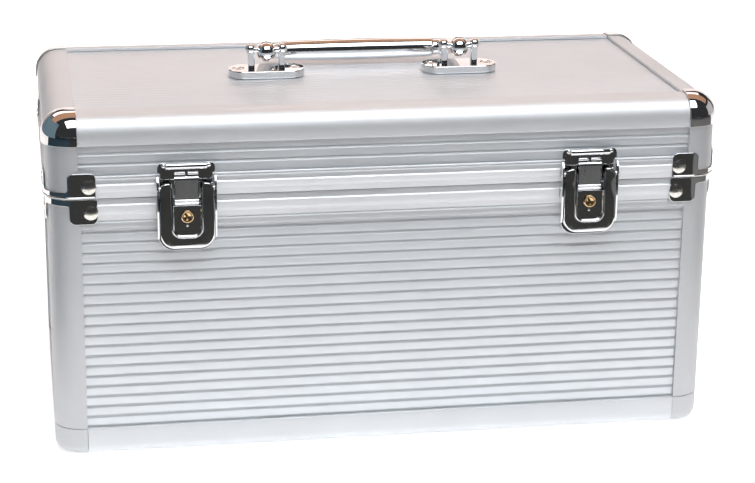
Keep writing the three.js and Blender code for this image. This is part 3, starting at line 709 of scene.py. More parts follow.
def round_bend(loop, corner, t, off):
    """Point and outward direction at t from the corner's middle and off the face; t > 0 goes to the
    front or back."""
    sx, sy = CORNERS[corner]
    turn = math.degrees(max(-BEND_HALF, min(BEND_HALF, t)) / CORNER_R)
    point, n = loop.round_corner(corner, math.degrees(math.atan2(sy, sx)) + sx * sy * turn, off)
    point.x -= sx * max(0, t - BEND_HALF)
    point.y -= sy * max(0, -t - BEND_HALF)
    return point, n


def bracket_outline():
    """(t, height) outline: a low link with a taller tab at either end, corners rounded."""
    near, far = unrolled(TAB_NEAR), unrolled(TAB_FAR)
    right = [(far, 0)] + arc(far - TAB_R, TAB_H - TAB_R, TAB_R, 0, 90, 8)
    right += arc(near + TAB_R, TAB_H - TAB_R, TAB_R, 90, 180, 8)
    right += arc(near - INNER_R, LINK_H + INNER_R, INNER_R, 360, 270, 3)
    return right + [(-t, h) for t, h in reversed(right)]


def make_bracket(name, half, corner, seam_z, up, node):
    body, loop = half
    bm = bmesh.new()
    bm.faces.new([bm.verts.new((t, 0, h)) for t, h in bracket_outline()])
    for k in range(-10, 11):
        geom = bm.verts[:] + bm.edges[:] + bm.faces[:]
        bmesh.ops.bisect_plane(bm, geom=geom, plane_co=(k * BEND_HALF / 10, 0, 0), plane_no=(1, 0, 0))
    for v in bm.verts:
        point = round_bend(loop, corner, v.co.x, PLATE_OFF + BRACKET_T)[0]
        v.co = (*point, seam_z + up * v.co.z)
    turn_outwards(bm, next(iter(bm.faces)), (*CORNERS[corner], 0))
    make_piece(name, thicken(bm, BRACKET_T), body, CHROME, node, bevel=(0.4, 3), clamp=False)


def make_bead(name, half, corner, z):
    """Half-round bead along a bracket's foot."""
    body, loop = half
    far = unrolled(TAB_FAR) - mm(0.8)
    rings = []
    for k in range(61):
        point, n = round_bend(loop, corner, far * (k / 30 - 1), PLATE_OFF + BRACKET_T - mm(0.1))
        rings.append(hoop(Vector((*point, z)), Vector((*n, 0)), Vector((0, 0, 1)), BEAD_R, 12))
    make_piece(name, loft(bmesh.new(), rings), body, CHROME, smooth=60)


def make_post_skin(name, half, corner, low, high):
    """Outer skin of a corner profile, which runs on past the rim to the seam."""
    body, loop = half
    reach = unrolled(FLANGE)
    line = [round_bend(loop, corner, reach * (k / 24 - 1), SKIN_PROUD)[0] for k in range(49)]
    bm = bmesh.new()
    bottom, top = ([bm.verts.new((*point, z)) for point in line] for z in (low, high))
    for k in range(48):
        bm.faces.new((bottom[k], bottom[k + 1], top[k + 1], top[k]))
    turn_outwards(bm, next(iter(bm.faces)), (*CORNERS[corner], 0))
    make_piece(name, thicken(bm, SKIN_T), body, SATIN_FINISH["z"], smooth=50)


def dome(bm, r, height, centre, axis):
    """Low rivet head with a small upright rim."""
    rise = 0.75 * height
    ball = (r * r + rise ** 2) / (2 * rise)
    sweep = math.asin(r / ball)
    profile = [(0, mm(-0.2)), (r, mm(-0.2)), (r, 0)]
    profile += [(ball * math.sin(sweep * k / 8), height - ball + ball * math.cos(sweep * k / 8))
                for k in range(8, -1, -1)]
    lathe(bm, profile, centre, axis, steps=36)


def make_rivets(name, half, corner, z):
    body, loop = half
    bm = bmesh.new()
    for way in (1, -1):
        base, n = round_bend(loop, corner, way * unrolled(RIVET_FROM_CORNER), PLATE_OFF + BRACKET_T)
        dome(bm, RIVET_R, RIVET_H, (*base, z), (*n, 0))
    make_piece(name, bm, body, RIVET, smooth=50)


def build_brackets():
    for corner in CORNERS:
        for prefix, half, up, rivet in (("lid", LID, 1, LID_RIVET_UP), ("body", BODY, -1, BODY_RIVET_DOWN)):
            make_bracket(f"{prefix}_seam_bracket_{corner}", half, corner, SEAM + up * SEAM_OFF, up,
                         f"{prefix}_bracket_{corner}")
            make_rivets(f"{prefix}_rivets_{corner}", half, corner, SEAM + up * rivet)
        make_post_skin("body_post_skin_" + corner, BODY, corner, SKIN_LOW, SEAM - SKIN_SEAM)
        make_post_skin("lid_post_skin_" + corner, LID, corner, SEAM + SKIN_SEAM, SKIN_HIGH)
        make_bead("lid_bracket_bead_" + corner, LID, corner, SEAM + SEAM_OFF + BEAD_UP)


build_brackets()

# ---------- screws ----------

RECESS_ARM, RECESS_DEPTH = 0.17, 0.35   # half width and depth of a recess, as shares of its reach


def make_screw(name, body, finish, r, height, centre, axis, across):
    """A raised countersunk head with a cross recess; axis points out of the head."""
    centre, axis, across = Vector(centre), Vector(axis), Vector(across)
    profile = [(0, mm(-0.5)), (r, mm(-0.5)), (r, 0.12 * height), (0.93 * r, 0.35 * height)]
    profile += [(0.7 * r, 0.75 * height), (0.4 * r, 0.95 * height), (0, height)]
    head = lathe(bmesh.new(), profile, centre, axis, steps=32)
    side = axis.cross(across)
    quarter = [(1, -RECESS_ARM), (1, RECESS_ARM), (RECESS_ARM, RECESS_ARM)]
    outline = []
    for _ in range(4):
        outline += quarter
        quarter = [(-b, a) for a, b in quarter]
    rings = [[centre + axis * height + (across * a + side * b + axis * c) * 0.55 * r for a, b in outline]
             for c in (-RECESS_DEPTH, 1)]
    make_piece(name, carved(head, loft(bmesh.new(), rings)), body, finish)


# ---------- latches ----------

LATCH_HALF, LATCH_PLATE = mm(16.3), mm(15)      # half widths over the ears, and of plate and lever
LATCH_BOTTOM, LATCH_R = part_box("latch_base_left")[0].z, mm(8.5)
LATCH_SEAM = SEAM - mm(0.4)     # top of the base plate
EAR_TOP, EAR_U = mm(163), mm(5.2)
LEVER_BOTTOM, LEVER_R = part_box("latch_lever_left")[0].z, mm(8)
LEVER_PIVOT = JOINT["lever_right_lift"]
PIVOT_U = -LEVER_PIVOT.y - LID_Y
LOCK_Z, LOCK_R = JOINT["lock_right_turn"].z, mm(3.5)
POCKET_HALF, POCKET_BOTTOM, POCKET_R = mm(8.5), mm(128.5), mm(5)
NOTCH_BOTTOM = mm(146.5)
ARMS_Z = (NOTCH_BOTTOM + mm(1.5), NOTCH_BOTTOM + mm(5))     # here the arms grow thinner, upwards
LEVER_TOP = LEVER_PIVOT.z + mm(3.2)
LEVER_U = mm((2.2, 6.2))        # how far the lever's back and front stand off the lid's face
ARM_U = mm(5.4)                 # its front beside the pivots
STEP_IN = mm(1.3)               # width of the ledge inside the pocket
STEP_U, FLOOR_U = mm(5.3), mm(4.4)
CATCH_FOOT, CATCH_TOP = mm(160.6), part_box("latch_keeper_left")[1].z
CATCH_SIDE = mm([(14.5, 160.6), (14.5, 164), (15.9, 164)])
CATCH_SHOULDER = mm([(15.9, -2.9), (15.1, -0.8), (13.2, 0)])    # below its top
CATCH_BAR_R, CATCH_BAR_HALF = mm(1.8), mm(11.4)
BARREL_Z, BARREL_HALF = mm(164.1), mm(3)
STRAP_HALF, STRAP_U = mm(6.7), mm((2, 3.2))
STRAP_FOOT, STRAP_TOP, STRAP_BEADS = mm(146.6), mm(162.5), mm((147.3, 148.9))


def at_latch(x):
    """Places (across, up, outward) at a latch's middle."""
    return lambda a, b, c: (x + a, -LID_Y - c, b)


def u_outline(half, low, r, inner_half, inner_low, inner_r, top, tip_r, tip_in):
    """Outline of a U open at the top, anticlockwise from its lower left."""
    line = arc(-half + r, low + r, r, 180, 270, 10) + arc(half - r, low + r, r, 270, 360, 10)
    line += arc(half - tip_r, top - tip_r, tip_r, 0, 90, 8)
    line += arc(inner_half + tip_in, top - tip_in, tip_in, 90, 180, 4)
    line += arc(inner_half - inner_r, inner_low + inner_r, inner_r, 360, 270, 8)
    line += arc(-inner_half + inner_r, inner_low + inner_r, inner_r, 270, 180, 8)
    line += arc(-inner_half - tip_in, top - tip_in, tip_in, 0, 90, 4)
    return line + arc(-half + tip_r, top - tip_r, tip_r, 90, 180, 8)


def inset(points, d):
    """The outline drawn in by d; anticlockwise points, no corner tighter than d."""
    result = []
    for i, (x, y) in enumerate(points):
        along_edge = (Vector(points[(i + 1) % len(points)]) - Vector(points[i - 1])).normalized()
        result.append((x - along_edge.y * d, y + along_edge.x * d))
    return result


def crowned(outline, low, high, place):
    """A prism whose front is softly rounded towards its edges."""
    rings = [[place(a, b, low) for a, b in outline]]
    for d, drop in mm([(0, 0.5), (0.1, 0.24), (0.35, 0.07), (0.9, 0)]):
        rings.append([place(a, b, high - drop) for a, b in inset(outline, d)])
    return loft(bmesh.new(), rings)


def arm_share(z):
    """How far up the thinning of the lever's arms a height lies, from 0 to 1."""
    return min(1, max(0, (z - ARMS_Z[0]) / (ARMS_Z[1] - ARMS_Z[0])))


def make_pocket_bead(place, x, body):
    """Bead round the lever's pocket and up the inside of its arms."""
    edge = mm(0.45)
    half, low, corner = POCKET_HALF - edge, POCKET_BOTTOM + edge, POCKET_R - edge
    path = [(-half, z) for z in (LEVER_TOP - mm(2.4), ARMS_Z[1], ARMS_Z[0])]
    path += arc(-half + corner, low + corner, corner, 180, 270, 10)
    path += arc(half - corner, low + corner, corner, 270, 360, 10)
    path += [(half, z) for z in (ARMS_Z[0], ARMS_Z[1], LEVER_TOP - mm(2.4))]
    rings = []
    for i, (a, b) in enumerate(path):
        along_path = (Vector(path[min(i + 1, len(path) - 1)]) - Vector(path[max(i - 1, 0)])).normalized()
        middle = at_latch(x)(a, b, LEVER_U[1] - mm(0.35) - arm_share(b) * (LEVER_U[1] - ARM_U))
        across = Vector((along_path.y, 0, -along_path.x))
        rings.append(hoop(Vector(middle), across, Vector((0, -1, 0)), mm(0.55), 12))
    make_piece("latch_pocket_bead_" + place, loft(bmesh.new(), rings), body, CHROME, smooth=60)


def thin_arms(bm):
    """Draws the lever's front back a little where its arms reach the pivots."""
    for z in ARMS_Z:
        geom = bm.verts[:] + bm.edges[:] + bm.faces[:]
        bmesh.ops.bisect_plane(bm, geom=geom, plane_co=(0, 0, z), plane_no=(0, 0, 1))
    for v in bm.verts:
        if -v.co.y - LID_Y > ARM_U:
            v.co.y += arm_share(v.co.z) * (LEVER_U[1] - ARM_U)


def make_lever(place, x, body):
    at, inner, lap = at_latch(x), POCKET_HALF - STEP_IN, mm(0.3)
    outline = u_outline(LATCH_PLATE - mm(0.1), LEVER_BOTTOM, LEVER_R, POCKET_HALF, POCKET_BOTTOM,
                        POCKET_R, LEVER_TOP, mm(4.4), mm(1.6))
    bm = crowned(outline, *LEVER_U, at)
    thin_arms(bm)
    make_piece("latch_lever_frame_" + place, bm, body, CHROME, "latch_lever_" + place, smooth=60)
    make_pocket_bead(place, x, body)
    ledge = u_outline(POCKET_HALF + mm(0.4), POCKET_BOTTOM - mm(0.4), POCKET_R, inner,
                      POCKET_BOTTOM + STEP_IN, POCKET_R - STEP_IN, NOTCH_BOTTOM, mm(0.2), mm(0.2))
    bm = prism(bmesh.new(), ledge, LEVER_U[0] + mm(0.1), STEP_U, at)
    make_piece("latch_pocket_ledge_" + place, bm, body, CHROME, bevel=(0.25, 3))
    floor = rounded_rect(-inner - lap, inner + lap, POCKET_BOTTOM + STEP_IN - lap,
                         NOTCH_BOTTOM - mm(0.1), [POCKET_R, POCKET_R, lap, lap], 8)
    bm = prism(bmesh.new(), floor, LEVER_U[0] + mm(0.2), FLOOR_U, at)
    dome(bm, mm(0.7), mm(0.35), at(0, LOCK_Z - mm(5.4), FLOOR_U), (0, -1, 0))
    make_piece("latch_pocket_floor_" + place, bm, body, CHROME, bevel=(0.2, 2))


def make_lock(place, x, body):
    """The key cylinder: a dished face with a turned keyway."""
    at, back, front = at_latch(x), FLOOR_U, LEVER_U[1]
    profile = [(0, back), (LOCK_R, back)]
    profile += [(LOCK_R + step, front + drop) for step, drop in mm([
        (0, -0.5), (-0.15, -0.15), (-0.5, 0), (-0.8, -0.1), (-1, -0.5), (-1.2, -0.5), (-1.35, -0.15)])]
    profile += [(0, front - mm(1.4))]
    bm = lathe(bmesh.new(), profile, at(0, LOCK_Z, 0), (0, -1, 0), steps=40)
    c, s = math.cos(math.radians(35)), math.sin(math.radians(35))
    slot = [(a * c - b * s, LOCK_Z + a * s + b * c)
            for a, b in rounded_rect(*mm((-0.65, 0.65, -2.2, 2.2, 0.3)), 3)]
    cutter = prism(bmesh.new(), slot, front - mm(1.7), front + mm(1), at)
    make_piece("latch_key_cylinder_" + place, carved(bm, cutter), body, BRASS, "latch_lock_" + place)


def make_latch_base(place, x):
    """The plate on the body, and its two ears with the lever's pins."""
    at, face, half = at_latch(x), LID_Y - BODY_Y, LATCH_PLATE + mm(0.6)
    plate = rounded_rect(-half, half, LATCH_BOTTOM, LATCH_SEAM, [LATCH_R, LATCH_R, mm(0.3), mm(0.3)], 10)
    bm = prism(bmesh.new(), plate, -face, mm(0.9), at)
    make_piece("latch_plate_" + place, bm, "case_body", CHROME, "latch_base_" + place,
               bevel=(0.4, 3))
    foot = LATCH_BOTTOM + LATCH_R - mm(1)
    ear = [(-face, foot), (EAR_U - mm(1.5), foot), (EAR_U, foot + mm(4)), (EAR_U, EAR_TOP - mm(3))]
    ear += [(EAR_U - mm(2), EAR_TOP), (mm(0.4), EAR_TOP), (mm(0.4), LATCH_SEAM), (-face, LATCH_SEAM)]
    ear = filleted(ear, mm(0.8))
    bm = bmesh.new()
    for side in (-1, 1):
        ends = sorted((side * (LATCH_HALF - mm(1)), side * LATCH_HALF))
        loft(bm, [[at(a, z, u) for u, z in ear] for a in ends])
        pin = at(side * (LATCH_HALF - mm(3.2)), LEVER_PIVOT.z, PIVOT_U)
        lathe(bm, bar_profile(mm(1.2), 0, mm(2.9), mm(0.1)), pin, (side, 0, 0), steps=20)
        dome(bm, mm(1.6), mm(0.45), at(side * LATCH_HALF, LEVER_PIVOT.z, PIVOT_U), (side, 0, 0))
    make_piece("latch_ears_" + place, bm, "case_body", CHROME, bevel=(0.25, 2))


def make_catch(place, x):
    """The lid's part: a plate with a rolled bar, a barrel for the strap, and a thin backing."""
    at = at_latch(x)
    half = CATCH_SIDE + [(a, CATCH_TOP + drop) for a, drop in CATCH_SHOULDER]
    outline = filleted(half + [(-a, z) for a, z in reversed(half)], mm(1.3))
    bm = prism(bmesh.new(), outline, mm(0.3), mm(1.5), at)
    make_piece("latch_catch_plate_" + place, bm, "lid", CHROME, "latch_keeper_" + place,
               bevel=(0.35, 3))
    bar_z = CATCH_TOP - CATCH_BAR_R
    bar = bar_profile(CATCH_BAR_R, -CATCH_BAR_HALF, CATCH_BAR_HALF, mm(0.5))
    bm = lathe(bmesh.new(), bar, at(0, bar_z, mm(2.1)), (1, 0, 0))
    barrel = bar_profile(mm(0.8), -BARREL_HALF, BARREL_HALF, mm(0.3))
    for side in (-1, 1):
        boss = at(side * (CATCH_BAR_HALF + mm(0.9)), bar_z + mm(0.2), mm(1.2))
        dome(bm, mm(1.3), mm(1.4), boss, (0, -1, 0))
        lathe(bm, barrel, at(side * mm(3.6), BARREL_Z, mm(1.8)), (1, 0, 0), steps=20)
    backing = rounded_rect(mm(-14.4), mm(14.4), SEAM + mm(0.8), CATCH_FOOT + mm(1), mm(0.5), 3)
    prism(bm, backing, mm(0.02), mm(0.18), at)
    make_piece("latch_catch_bar_" + place, bm, "lid", CHROME, smooth=50)
    make_strap(place, at)


def make_strap(place, at):
    """The strap that hangs from the catch, with a bent top and two beads along its foot."""
    (back, front), bend = STRAP_U, mm(1.6)
    section = [(back, STRAP_FOOT), (front - mm(0.2), STRAP_FOOT - mm(0.2))]
    for bead_z in STRAP_BEADS:
        section += arc(front - mm(0.1), bead_z, mm(0.6), -80, 80, 8)
    section += [(front, STRAP_BEADS[1] + mm(1)), (front, STRAP_TOP - bend)]
    section += arc(front - bend, STRAP_TOP - bend, bend, 10, 90, 6)
    section += [(back - mm(1), STRAP_TOP), (back - mm(1), STRAP_TOP - mm(1)), (back, STRAP_TOP - bend)]
    bm = loft(bmesh.new(), [[at(a, z, u) for u, z in section] for a in (-STRAP_HALF, STRAP_HALF)])
    make_piece("latch_catch_strap_" + place, bm, "lid", CHROME, smooth=50, bevel=(0.2, 2), degrees=60)
    half = STRAP_HALF - mm(0.5)
    face = rounded_rect(-half, half, STRAP_BEADS[1] + mm(1.2), STRAP_TOP - mm(2), mm(0.6), 4)
    bm = prism(bmesh.new(), face, front - mm(0.1), front + mm(0.12), at)
    make_piece("latch_catch_face_" + place, bm, "lid", STRAP, smooth=50)


for latch_place, latch_x in (("left", -LATCH_X), ("right", LATCH_X)):
    make_latch_base(latch_place, latch_x)
    make_catch(latch_place, latch_x)
    make_lever(latch_place, latch_x, "lever_" + latch_place)
    make_lock(latch_place, latch_x, "lock_" + latch_place)

# ---------- carrying handle ----------

HANDLE_X = mm(57.75)
PIVOT_Z = JOINT["handle_swing"].z
PLATE_H, PLATE_R = mm(4.5), mm(10)
HANDLE_SCREW_AT, HANDLE_SCREW_R, HANDLE_SCREW_H = mm(16.7), mm(3.1), mm(1.2)
SINK = mm([(0, -1.6), (2.4, -1.6), (3.9, 0.1), (3.9, 1), (0, 1)])   # countersink for a screw
POST_AT, POST_HEAD_AT, POST_HEAD_R = mm(9), mm(9.4), mm(3.1)
GRIP_Y, GRIP_Z = mm(26), mm(203.9)
GRIP_R, GRIP_END_R, GRIP_HALF, GRIP_EDGE = mm((6.4, 5.8, 47, 1.6))      # it swells to its middle
ARM_R = mm(4.8)
ARM_BENDS = mm([(0, 0), (0, 6), (0, 12), (1.4, 19.5), (5.4, 24.2), (11.5, 26), (24, 26)])   # inwards, y
BALL_R, BALL_DROP = mm(5.75), mm(1.3)   # end of an arm, a little below the pivot


def make_handle_bracket(place, x):
    low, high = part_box("handle_bracket_" + place)
    top = low.z + PLATE_H
    plate = rounded_rect(low.x, high.x, low.y, high.y, PLATE_R, 14)
    cutter, posts = bmesh.new(), bmesh.new()
    for side in (-1, 1):
        lathe(cutter, SINK, (x + side * HANDLE_SCREW_AT, 0, top), (0, 0, 1), steps=32)
        base_x = x + side * POST_AT
        post = rounded_rect(base_x - mm(1.9), base_x + mm(1.9), mm(-2.5), mm(2.5), mm(0.7), 5)
        prism(posts, post, top - mm(0.3), PIVOT_Z - mm(1), along_z)
        head_at = (x + side * POST_HEAD_AT, 0, PIVOT_Z + mm(0.6))
        lathe(posts, ball_profile(POST_HEAD_R, 16), head_at, (side, 0, 0), steps=32)
    bm = carved(prism(bmesh.new(), plate, low.z, top, along_z), cutter)
    make_piece("handle_plate_" + place, bm, "lid", CHROME, "handle_bracket_" + place,
               bevel=(0.7, 4))
    for letter, side, degrees in (("a", -1, 25), ("b", 1, 95)):
        turn = math.radians(degrees)
        make_screw(f"handle_screw_{place}_{letter}", "lid", CHROME, HANDLE_SCREW_R, HANDLE_SCREW_H,
                   (x + side * HANDLE_SCREW_AT, 0, top - mm(0.75)), (0, 0, 1),
                   (math.cos(turn), math.sin(turn), 0))
    make_piece("handle_posts_" + place, posts, "lid", CHROME, smooth=50)


def catmull(points, per_span):
    """A smooth line through the points."""
    line = []
    padded = [points[0] * 2 - points[1]] + points + [points[-1] * 2 - points[-2]]
    for i in range(1, len(padded) - 2):
        p0, p1, p2, p3 = padded[i - 1:i + 3]
        for k in range(per_span):
            t = k / per_span
            line.append(0.5 * (2 * p1 + (p2 - p0) * t + (2 * p0 - 5 * p1 + 4 * p2 - p3) * t * t
                               + (3 * p1 - p0 - 3 * p2 + p3) * t * t * t))
    return line + [points[-1]]


def make_bail():
    """Two arms from the pivots bent round into a straight round grip, lying folded to the back."""
    slope = (GRIP_Z - PIVOT_Z) / GRIP_Y
    half = [Vector((HANDLE_X - inwards, y, PIVOT_Z + slope * y)) for inwards, y in ARM_BENDS]
    path = catmull(half + [Vector((-p.x, p.y, p.z)) for p in reversed(half)], 8)
    up = Vector((0, -slope, 1)).normalized()
    rings = []
    for i, p in enumerate(path):
        ahead = (path[min(i + 1, len(path) - 1)] - path[max(i - 1, 0)]).normalized()
        rings.append(hoop(p, ahead.cross(up), up, ARM_R, 40))
    bm = loft(bmesh.new(), rings)
    end = [(0, -GRIP_HALF)]
    end += arc(GRIP_END_R - GRIP_EDGE, -GRIP_HALF + GRIP_EDGE, GRIP_EDGE, 270, 360, 6)
    middle = [(GRIP_END_R + (GRIP_R - GRIP_END_R) * math.sin(math.pi * k / 16),
               (k / 8 - 1) * (GRIP_HALF - GRIP_EDGE)) for k in range(1, 16)]
    profile = end + middle + [(r, -at) for r, at in reversed(end)]
    lathe(bm, profile, (0, GRIP_Y, GRIP_Z), (1, 0, 0), steps=56)
    trunnion = bar_profile(mm(2), mm(-7.3), mm(7.3), mm(0.2))
    for x in (-HANDLE_X, HANDLE_X):
        lathe(bm, ball_profile(BALL_R, 24), (x, 0, PIVOT_Z - BALL_DROP), (1, 0, 0), steps=40)
        lathe(bm, trunnion, (x, 0, PIVOT_Z), (1, 0, 0))
    make_piece("handle_grip", bm, "handle", CHROME, "carry_handle", smooth=50)


make_handle_bracket("left", -HANDLE_X)
make_handle_bracket("right", HANDLE_X)
make_bail()

# ---------- rear hinge ----------

HINGE_Y = JOINT["lid_hinge"].y
BARREL_R, HINGE_PIN_R, LEAF_T, LEAF_OFF = mm(3.2), mm(1.5), mm(1.2), mm(0.3)
HINGE_HALF, KNUCKLES = mm(150), 6
HINGE_SCREWS = mm((-130, -78, -26, 26, 78, 130))
HINGE_SCREW_R, HINGE_SCREW_H = mm(2.4), mm(0.8)


def make_hinge_leaf(name, body, first, back, plate_z, web_z, screw_z, node):
    """A leaf with every second knuckle; back is its back's distance from the middle plane."""
    pitch, edge, bore = 2 * HINGE_HALF / KNUCKLES, mm(0.3), HINGE_PIN_R + mm(0.1)
    outline = rounded_rect(-HINGE_HALF, HINGE_HALF, *plate_z, mm(1.5), 5)
    bm = prism(bmesh.new(), outline, back, back + LEAF_T, along_y)
    for i in range(first, KNUCKLES, 2):
        start = -HINGE_HALF + i * pitch + edge
        end = start + pitch - 2 * edge
        section = [(bore, start), (BARREL_R - edge, start), (BARREL_R, start + edge)]
        section += [(BARREL_R, end - edge), (BARREL_R - edge, end), (bore, end)]
        rings = [hoop(Vector((x, HINGE_Y, SEAM)), Vector((0, 1, 0)), Vector((0, 0, 1)), r, 28)
                 for r, x in section]
        loft(bm, rings, closed=True)
        web = [(start, web_z[0]), (end, web_z[0]), (end, web_z[1]), (start, web_z[1])]
        prism(bm, web, back, HINGE_Y - mm(1.2), along_y)
    make_piece(name, bm, body, STEEL, node, bevel=(0.2, 2))
    for number, x in enumerate(HINGE_SCREWS):
        turn = math.radians(20 + 47 * number)
        make_screw(f"{name}_screw_{'abcdef'[number]}", body, STEEL, HINGE_SCREW_R, HINGE_SCREW_H,
                   (x, back + LEAF_T, screw_z), (0, 1, 0), (math.cos(turn), 0, math.sin(turn)))


def build_hinge():
    gap = mm(0.4)
    make_hinge_leaf("hinge_body_leaf", "case_body", 0, BODY_Y + LEAF_OFF, mm((135, 147.3)),
                    (mm(146.5), SEAM - gap), mm(140.6), "hinge_leaf_body")
    make_hinge_leaf("hinge_lid_leaf", "lid", 1, LID_Y + LEAF_OFF, mm((154.4, 162.8)),
                    (SEAM + gap, mm(155)), mm(159), "hinge_leaf_lid")
    reach = HINGE_HALF + mm(1)
    pin = bar_profile(HINGE_PIN_R, -reach, reach, mm(0.4))
    bm = lathe(bmesh.new(), pin, (0, HINGE_Y, SEAM), (1, 0, 0))
    make_piece("hinge_pin_rod", bm, "case_body", STEEL, "hinge_pin", smooth=50)


build_hinge()

# ---------- trays ----------

TRAY_WALL, TRAY_CORNER, TRAY_FOOT = mm(2), mm(4), mm(1.5)
CELL_CORNER, CELL_FOOT = mm(3), mm(2.2)
TRAY_SPLIT = mm(-24)        # wall between the upper tray's two rows
LONG_CELL_END = mm(60)      # the rear row's long cell ends here


def rounded_box(bm, sides, low, high, corner, foot, turns, steps, shrink=1):
    """A box with rounded upright corners and a rounded foot; sides are left, right, front, back."""
    left, right, front, back = sides
    rings = []
    for k in range(turns + 1):
        a = math.radians(90 * k / turns)
        d = foot * (1 - math.sin(a))
        outline = rounded_rect(left + d, right - d, front + d, back - d, corner - d * shrink, steps)
        rings.append([(x, y, low + foot * (1 - math.cos(a))) for x, y in outline])
    rings.append([(x, y, high) for x, y in rounded_rect(*sides, corner, steps)])
    return loft(bm, rings)


def make_tray(name, node, cells):
    low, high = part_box(node)
    bm = rounded_box(bmesh.new(), (low.x, high.x, low.y, high.y), low.z, high.z, TRAY_CORNER,
                     TRAY_FOOT, 3, 6)
    cutter = bmesh.new()
    for cell in cells:
        rounded_box(cutter, cell, low.z + TRAY_WALL, high.z + mm(1), CELL_CORNER, CELL_FOOT, 4, 5, 0.9)
    make_piece(name, carved(bm, cutter), node, TRAY, node, bevel=(0.45, 3))


def cell_row(count, left, right, front, back):
    width = (right - left - (count - 1) * TRAY_WALL) / count
    starts = [left + i * (width + TRAY_WALL) for i in range(count)]
    return [(start, start + width, front, back) for start in starts]


def build_trays():
    low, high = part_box("upper_tray")
    left, right = low.x + TRAY_WALL, high.x - TRAY_WALL
    front, back = low.y + TRAY_WALL, high.y - TRAY_WALL
    cells = cell_row(5, left, right, front, TRAY_SPLIT)
    cells += [(left, LONG_CELL_END, TRAY_SPLIT + TRAY_WALL, back),
              (LONG_CELL_END + TRAY_WALL, right, TRAY_SPLIT + TRAY_WALL, back)]
    make_tray("tray_upper_shell", "upper_tray", cells)
    make_tray("tray_lower_shell", "lower_tray", cell_row(3, left, right, front, back))


build_trays()

# ---------- linkage ----------

BAR_STEP, BAR_W = mm(48), mm(9)
BAR_RISE, LINK_FALL = math.radians(15), math.radians(25.3)
BAR_X, LINK_X = mm((176.9, 178.6)), mm((179.2, 180.9))
LINK_MIDDLE, LINK_SLOT, LINK_W = mm(107), mm(8.6), mm(10)
STUD_R, PIVOT_STUD_R = mm(2), mm(2.6)


def slanted(pivot, rise, side):
    """Places (along, across, x) on a bar that leaves its pivot towards the front, rising by rise."""
    c, s = math.cos(rise), math.sin(rise)
    return lambda a, b, x: (side * x, pivot.y - a * c + b * s, pivot.z + a * s + b * c)


def pill(start, end, half_w):
    return arc(end, 0, half_w, -90, 90, 12) + arc(start, 0, half_w, 90, 270, 12)


def stud(bm, at, reach, side, x, r=STUD_R, head=0.0):
    """A round stud across a bar from x[0] to x[1]; head is the height of a domed inner head."""
    y, z = at(reach, 0, 0)[1:]
    lathe(bm, bar_profile(r, *x, mm(0.15)), (0, y, z), (side, 0, 0), steps=24)
    if head:
        dome(bm, 1.7 * r, head, (side * x[0], y, z), (-side, 0, 0))


def make_bar(place, word, side):
    body = place + "_bars"
    at = slanted(JOINT[body + "_swing"], BAR_RISE, side)
    bm = prism(bmesh.new(), pill(0, 2 * BAR_STEP, BAR_W / 2), *BAR_X, at)
    name = f"tray_arm_{place}_{word}"
    make_piece(name, bm, body, STEEL, f"tray_bar_{place}_{word}", bevel=(0.3, 2))
    bm = bmesh.new()
    stud(bm, at, 0, side, (BAR_X[0] - mm(0.5), mm(181.8)), r=PIVOT_STUD_R)
    for step in (1, 2):
        stud(bm, at, step * BAR_STEP, side, (mm(174.1), BAR_X[1] + mm(0.3)), head=mm(0.8))
    if place == "front":
        stud(bm, at, BAR_STEP, side, mm((178, 181.5)))
    make_piece(name + "_studs", bm, body, STEEL)


def make_link(word, side):
    at = slanted(JOINT["lift_links_swing"], -LINK_FALL, side)
    bm = prism(bmesh.new(), pill(0, LINK_MIDDLE + LINK_SLOT + mm(1), LINK_W / 2), *LINK_X, at)
    slot = pill(LINK_MIDDLE - LINK_SLOT, LINK_MIDDLE + LINK_SLOT, STUD_R + mm(0.9))
    cutter = prism(bmesh.new(), slot, LINK_X[0] - mm(1), LINK_X[1] + mm(1), at)
    make_piece("lift_link_bar_" + word, carved(bm, cutter), "lift_links", STEEL, "lift_link_" + word,
               bevel=(0.3, 2))
    bm = bmesh.new()
    stud(bm, at, 0, side, (LINK_X[0] - mm(0.3), mm(182.4)), r=PIVOT_STUD_R)
    make_piece("lift_link_stud_" + word, bm, "lift_links", STEEL)


for link_word, link_side in (("left", -1), ("right", 1)):
    make_bar("front", link_word, link_side)
    make_bar("rear", link_word, link_side)
    make_link(link_word, link_side)

# ---------- foam on the floor of the body ----------

PAD_CORNER, PAD_SOFT, PAD_EDGE_UP, PAD_CROWN = mm(8), mm(3.2), mm(1.8), mm(0.4)


def build_pad():
    low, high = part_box("base_pad")

    def level(d, z, r):
        outline = rounded_rect(low.x + d, high.x - d, low.y + d, high.y - d, r, 8)
        return [(x, y, z) for x, y in outline]

    rings = [level(d, low.z + up, PAD_CORNER - d) for d, up in mm([(1.2, 0), (0.3, 0.8), (0, 1.8)])]
    edge, shoulder = low.z + PAD_EDGE_UP, high.z - PAD_CROWN
    for k in range(1, 6):
        a = math.radians(90 * k / 5)
        d = PAD_SOFT * (1 - math.cos(a))
        rings.append(level(d, edge + (shoulder - edge) * math.sin(a), PAD_CORNER - 0.8 * d))
    for k in range(1, 9):
        d = PAD_SOFT + (high.y - PAD_SOFT - mm(6)) * k / 8
        z = shoulder + PAD_CROWN * math.sin(math.pi / 2 * k / 8)
        rings.append(level(d, z, max(mm(1.5), mm(5.4) - 0.05 * d)))
    bm = loft(bmesh.new(), rings)
    pad = make_piece("base_foam", bm, "case_body", FOAM, "base_pad", smooth=60)


build_pad()

# ---------- studio ----------

FLOOR_EDGE = -0.39      # the metal mirrors white floor back from here, and a dark room before it
DARK = (0.045, 0.045, 0.043)
WALL_AT, FAR_FLOOR_AT = 4.45, 2.65
